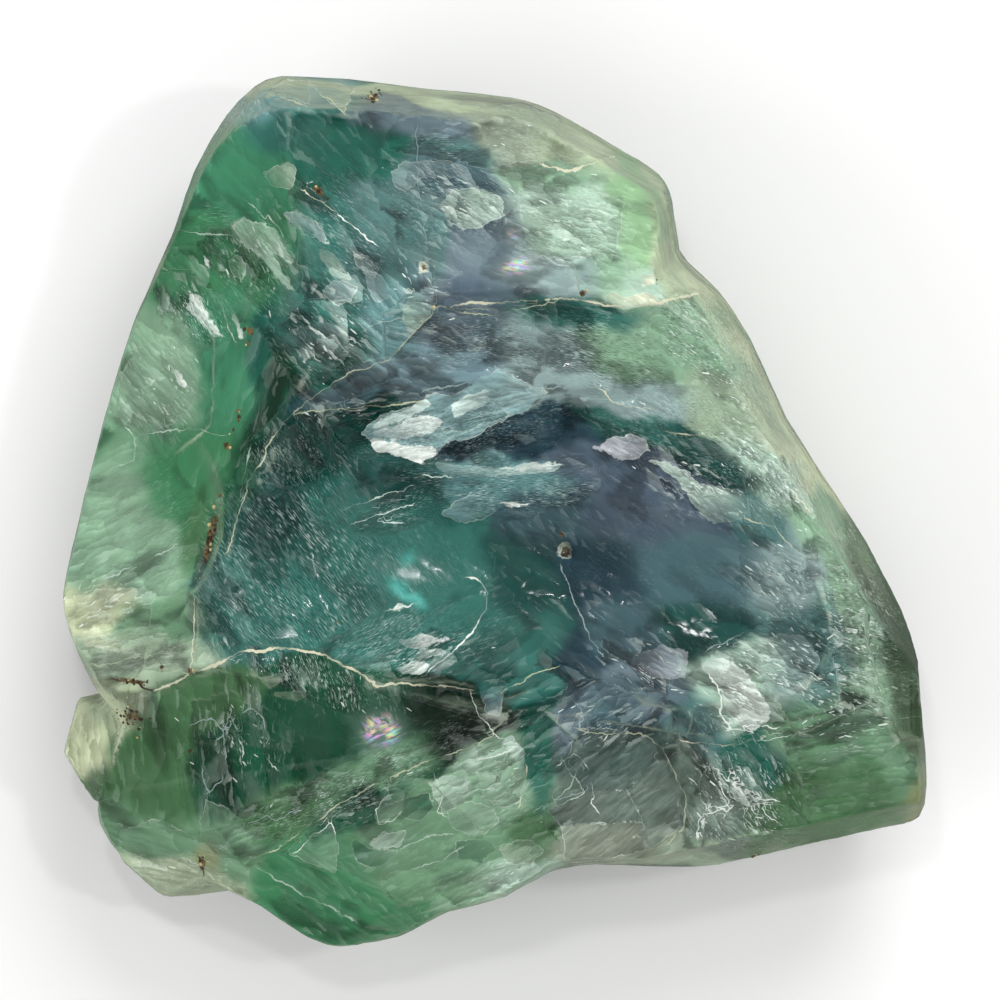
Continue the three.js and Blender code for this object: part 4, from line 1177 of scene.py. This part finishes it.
slivers = {
    "Density": 0.80e6,  # a square metre, where the frost is full
    "Smallest": (0.10, 0.03, 0.02),  # half length, half width and thickness, mm
    "Largest": (0.65, 0.11, 0.06),
    "Lean": 0.35,  # radians
    "Turn": 0.5,
    "Seed": 5,
}
sliverLook = {
    "sides": 5,
    "lift": 1.6,  # painted sparkle: brightness over the stone below
    "paleColour": (0.80, 0.88, 0.82, 1.0),
    "specular": 0.5,
}

grains = {
    "Density": 1.1e7,
    "Smallest": (0.07,) * 3,  # radius, mm
    "Largest": (0.26,) * 3,
    "Lean": math.pi,
    "Turn": math.pi,
    "Seed": 8,
}
grainLook = {"paleColour": (0.55, 0.46, 0.22, 1.0)}

scatterLook = {
    "coverPower": 1.5,
    "sizePower": 2.2,  # few large, many small
    "sizeSeed": 3,
    "paleSeed": 4,
}


def scatterTree(name, amount, shape, material, follow):
    # instances of one small shape on the stone, thicker where the named amount is higher
    kinds = {"Density": "Float", "Smallest": "Vector", "Largest": "Vector", "Lean": "Float", "Turn": "Float",
             "Seed": "Int"}
    tree, given, result = newTree(name, "GeometryNodeTree", [("Geometry", "Geometry"), *kinds.items()],
                                  [("Geometry", "Geometry")])

    def chance(seed):
        return addNode(tree, "FunctionNodeRandomValue", {"Seed": seed}, data_type="FLOAT").outputs[1]

    cover = maths(tree, "POWER", namedValue(tree, amount), scatterLook["coverPower"])
    links = {"Mesh": given["Geometry"], "Density": times(tree, cover, given["Density"]), "Seed": given["Seed"]}
    spread = addNode(tree, "GeometryNodeDistributePointsOnFaces", links)
    rotation = spread.outputs["Rotation"]
    if follow:  # long side along the strokes' slope
        slope = times(tree, namedValue(tree, "slope"), -1.0)
        way = combined(tree, maths(tree, "COSINE", slope), maths(tree, "SINE", slope))
        links = {"Rotation": rotation, "Vector": way}
        rotation = addNode(tree, "FunctionNodeAlignRotationToVector", links, axis="X", pivot_axis="Z").outputs[0]
    high = combined(tree, given["Lean"], given["Lean"], given["Turn"])
    links = {"Min": scaled(tree, high, -1.0), "Max": high, "Seed": given["Seed"]}
    lean = addNode(tree, "FunctionNodeRandomValue", links, data_type="FLOAT_VECTOR").outputs[0]
    lean = addNode(tree, "FunctionNodeEulerToRotation", {0: lean}).outputs[0]
    rotation = addNode(tree, "FunctionNodeRotateRotation", {0: rotation, 1: lean}, rotation_space="LOCAL").outputs[0]
    share = maths(tree, "POWER", chance(scatterLook["sizeSeed"]), scatterLook["sizePower"])
    links = {0: share, 4: given["Smallest"], 5: given["Largest"]}
    size = scaled(tree, addNode(tree, "ShaderNodeMix", links, data_type="VECTOR").outputs[1], 0.001)
    links = {"Geometry": spread.outputs["Points"], "Name": "pale", "Value": chance(scatterLook["paleSeed"])}
    points = addNode(tree, "GeometryNodeStoreNamedAttribute", links, data_type="FLOAT", domain="POINT").outputs[0]
    links = {"Points": points, "Instance": shape(tree), "Rotation": rotation, "Scale": size}
    placed = addNode(tree, "GeometryNodeInstanceOnPoints", links)
    real = addNode(tree, "GeometryNodeRealizeInstances", {0: placed.outputs[0]})
    painted = addNode(tree, "GeometryNodeSetMaterial", {"Geometry": real.outputs[0], "Material": material})
    tree.links.new(painted.outputs[0], result[0])
    return tree


def sliverShape(tree):
    links = {"Vertices": sliverLook["sides"], "Radius Top": 0.8, "Radius Bottom": 1.0, "Depth": 1.0}
    return addNode(tree, "GeometryNodeMeshCone", links).outputs["Mesh"]


def grainShape(tree):
    return addNode(tree, "GeometryNodeMeshIcoSphere", {"Radius": 1.0, "Subdivisions": 1}).outputs["Mesh"]


def scatter(stone, name, tree, values):
    work = linkObject(name + "Work", stone.data.copy())
    work.data.materials.clear()
    modifier = work.modifiers.new(name, "NODES")
    modifier.node_group = tree
    setInputs(modifier, values)
    piece = plainMesh(work, name)
    print(name, len(piece.data.polygons), "faces")
    return piece


def sliverMaterial():
    material, tree, shader = newMaterial("frostSliver")
    pale = attribute(tree, "pale")["Fac"]
    # painted sparkle: the slivers are brighter than the stone below, and the pale ones are partly frost white,
    # partly painted glint
    sparkleLifted = scaled(tree, attribute(tree, "bodyTint")["Color"], sliverLook["lift"])
    colour = blendColour(tree, ramp(tree, pale, 0.1, 1.0, 0.05, 0.9), sparkleLifted, sliverLook["paleColour"])
    tree.links.new(colour, shader["Base Color"])
    tree.links.new(ramp(tree, pale, 0.0, 1.0, 0.25, 0.5), shader["Roughness"])
    shader["IOR"].default_value = stoneFinish["ior"]
    shader["Specular IOR Level"].default_value = sliverLook["specular"]
    return material


def grainMaterial():
    material, tree, shader = newMaterial("rustGrain")
    pale = attribute(tree, "pale")["Fac"]
    colour = blendColour(tree, ramp(tree, pale, 0.35, 0.65), (*palette["umber"], 1), (*palette["rust"], 1))
    colour = blendColour(tree, ramp(tree, pale, 0.78, 0.9), colour, grainLook["paleColour"])
    tree.links.new(colour, shader["Base Color"])
    tree.links.new(ramp(tree, pale, 0.0, 1.0, 0.55, 0.85), shader["Roughness"])
    return material


studio = {
    "floorSize": 3.0,
    "floorColour": (0.94, 0.94, 0.935, 1.0),
    "floorMirrored": (0.14, 0.15, 0.145, 1.0),
    "floorRoughness": 0.9,
    "zenithLight": 0.29,
    "horizonLight": 0.95,
    "aim": (0.0, 0.0, 0.02),
    "largestGlint": 0.5,
    "lights": [
        # name, place, size, watts
        ("keyLight", (0.35, 0.95, 0.80), 0.9, 10.5),
        ("fillLight", (-0.95, -0.25, 0.85), 0.9, 5.0),
        ("southLight", (0.15, -0.95, 0.80), 0.9, 3.4),
        ("glintLight", (-0.10, 0.35, 1.30), 0.10, 1.5),
        ("sparkLight", (0.60, 0.10, 1.10), 0.10, 1.5),
    ],
    "bounces": {"max_bounces": 3, "diffuse_bounces": 1, "glossy_bounces": 1, "transmission_bounces": 2,
                "transparent_max_bounces": 0},
}


def buildFloor():
    half = studio["floorSize"] / 2
    mesh = bpy.data.meshes.new("floor")
    mesh.from_pydata([(-half, -half, 0), (half, -half, 0), (half, half, 0), (-half, half, 0)], [], [(0, 1, 2, 3)])
    floor = linkObject("floor", mesh)
    paper, tree, sheet = newMaterial("paper")
    # the floor is kept out of the stone's own mirror image, as a polariser does
    mirrored = tree.nodes.new("ShaderNodeLightPath").outputs["Is Glossy Ray"]
    tree.links.new(blendColour(tree, mirrored, studio["floorColour"], studio["floorMirrored"]), sheet["Base Color"])
    sheet["Roughness"].default_value = studio["floorRoughness"]
    sheet["Specular IOR Level"].default_value = 0.0
    mesh.materials.append(paper)


def buildLights():
    scene = bpy.context.scene
    scene.world = bpy.data.worlds.new("studio")
    scene.world.use_nodes = True
    sky = scene.world.node_tree
    height = separated(sky, sky.nodes.new("ShaderNodeTexCoord").outputs["Generated"])[2]
    background = sky.nodes["Background"].inputs
    sky.links.new(ramp(sky, height, 0.1, 1.0, studio["horizonLight"], studio["zenithLight"]), background["Strength"])
    background["Color"].default_value = (1, 1, 1, 1)
    for name, count in studio["bounces"].items():
        setattr(scene.cycles, name, count)
    scene.cycles.caustics_reflective = False
    scene.cycles.caustics_refractive = False
    for name, place, size, watts in studio["lights"]:
        lamp = bpy.data.lights.new(name, "AREA")
        lamp.shape = "DISK"
        lamp.size = size
        lamp.energy = watts
        light = linkObject(name, lamp)
        light.visible_glossy = size < studio["largestGlint"]  # large lamps aren't mirrored in the stone
        light.location = place
        light.rotation_mode = "QUATERNION"
        light.rotation_quaternion = (light.location - Vector(studio["aim"])).to_track_quat("Z", "Y")
    scene.view_settings.view_transform = "Standard"


def buildCamera():
    lens = bpy.data.cameras.new("camera")
    lens.sensor_width = photo["sensor"]
    lens.lens = photo["sensor"] * photo["cameraHeight"] / (photo["width"] * photo["pixel"])
    lens.clip_start = 0.1
    lens.clip_end = 10
    camera = linkObject("camera", lens)
    camera.location = (*photo["lookAt"], photo["level"] + photo["cameraHeight"])
    bpy.context.scene.camera = camera


stone = shapeStone()
stone.data.materials.clear()
stone.data.materials.append(stoneMaterial())
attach(stone, "root")
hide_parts("fluorite")
sliverTree = scatterTree("sliverScatter", "frost", sliverShape, sliverMaterial(), True)
frostSlivers = scatter(stone, "frostSlivers", sliverTree, slivers)
grainTree = scatterTree("grainScatter", "grit", grainShape, grainMaterial(), False)
rustGrains = scatter(stone, "rustGrains", grainTree, grains)
for piece in (frostSlivers, rustGrains):
    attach(piece, "root")
buildFloor()
buildLights()
buildCamera()
print("studio ready")

print("pieces placed")
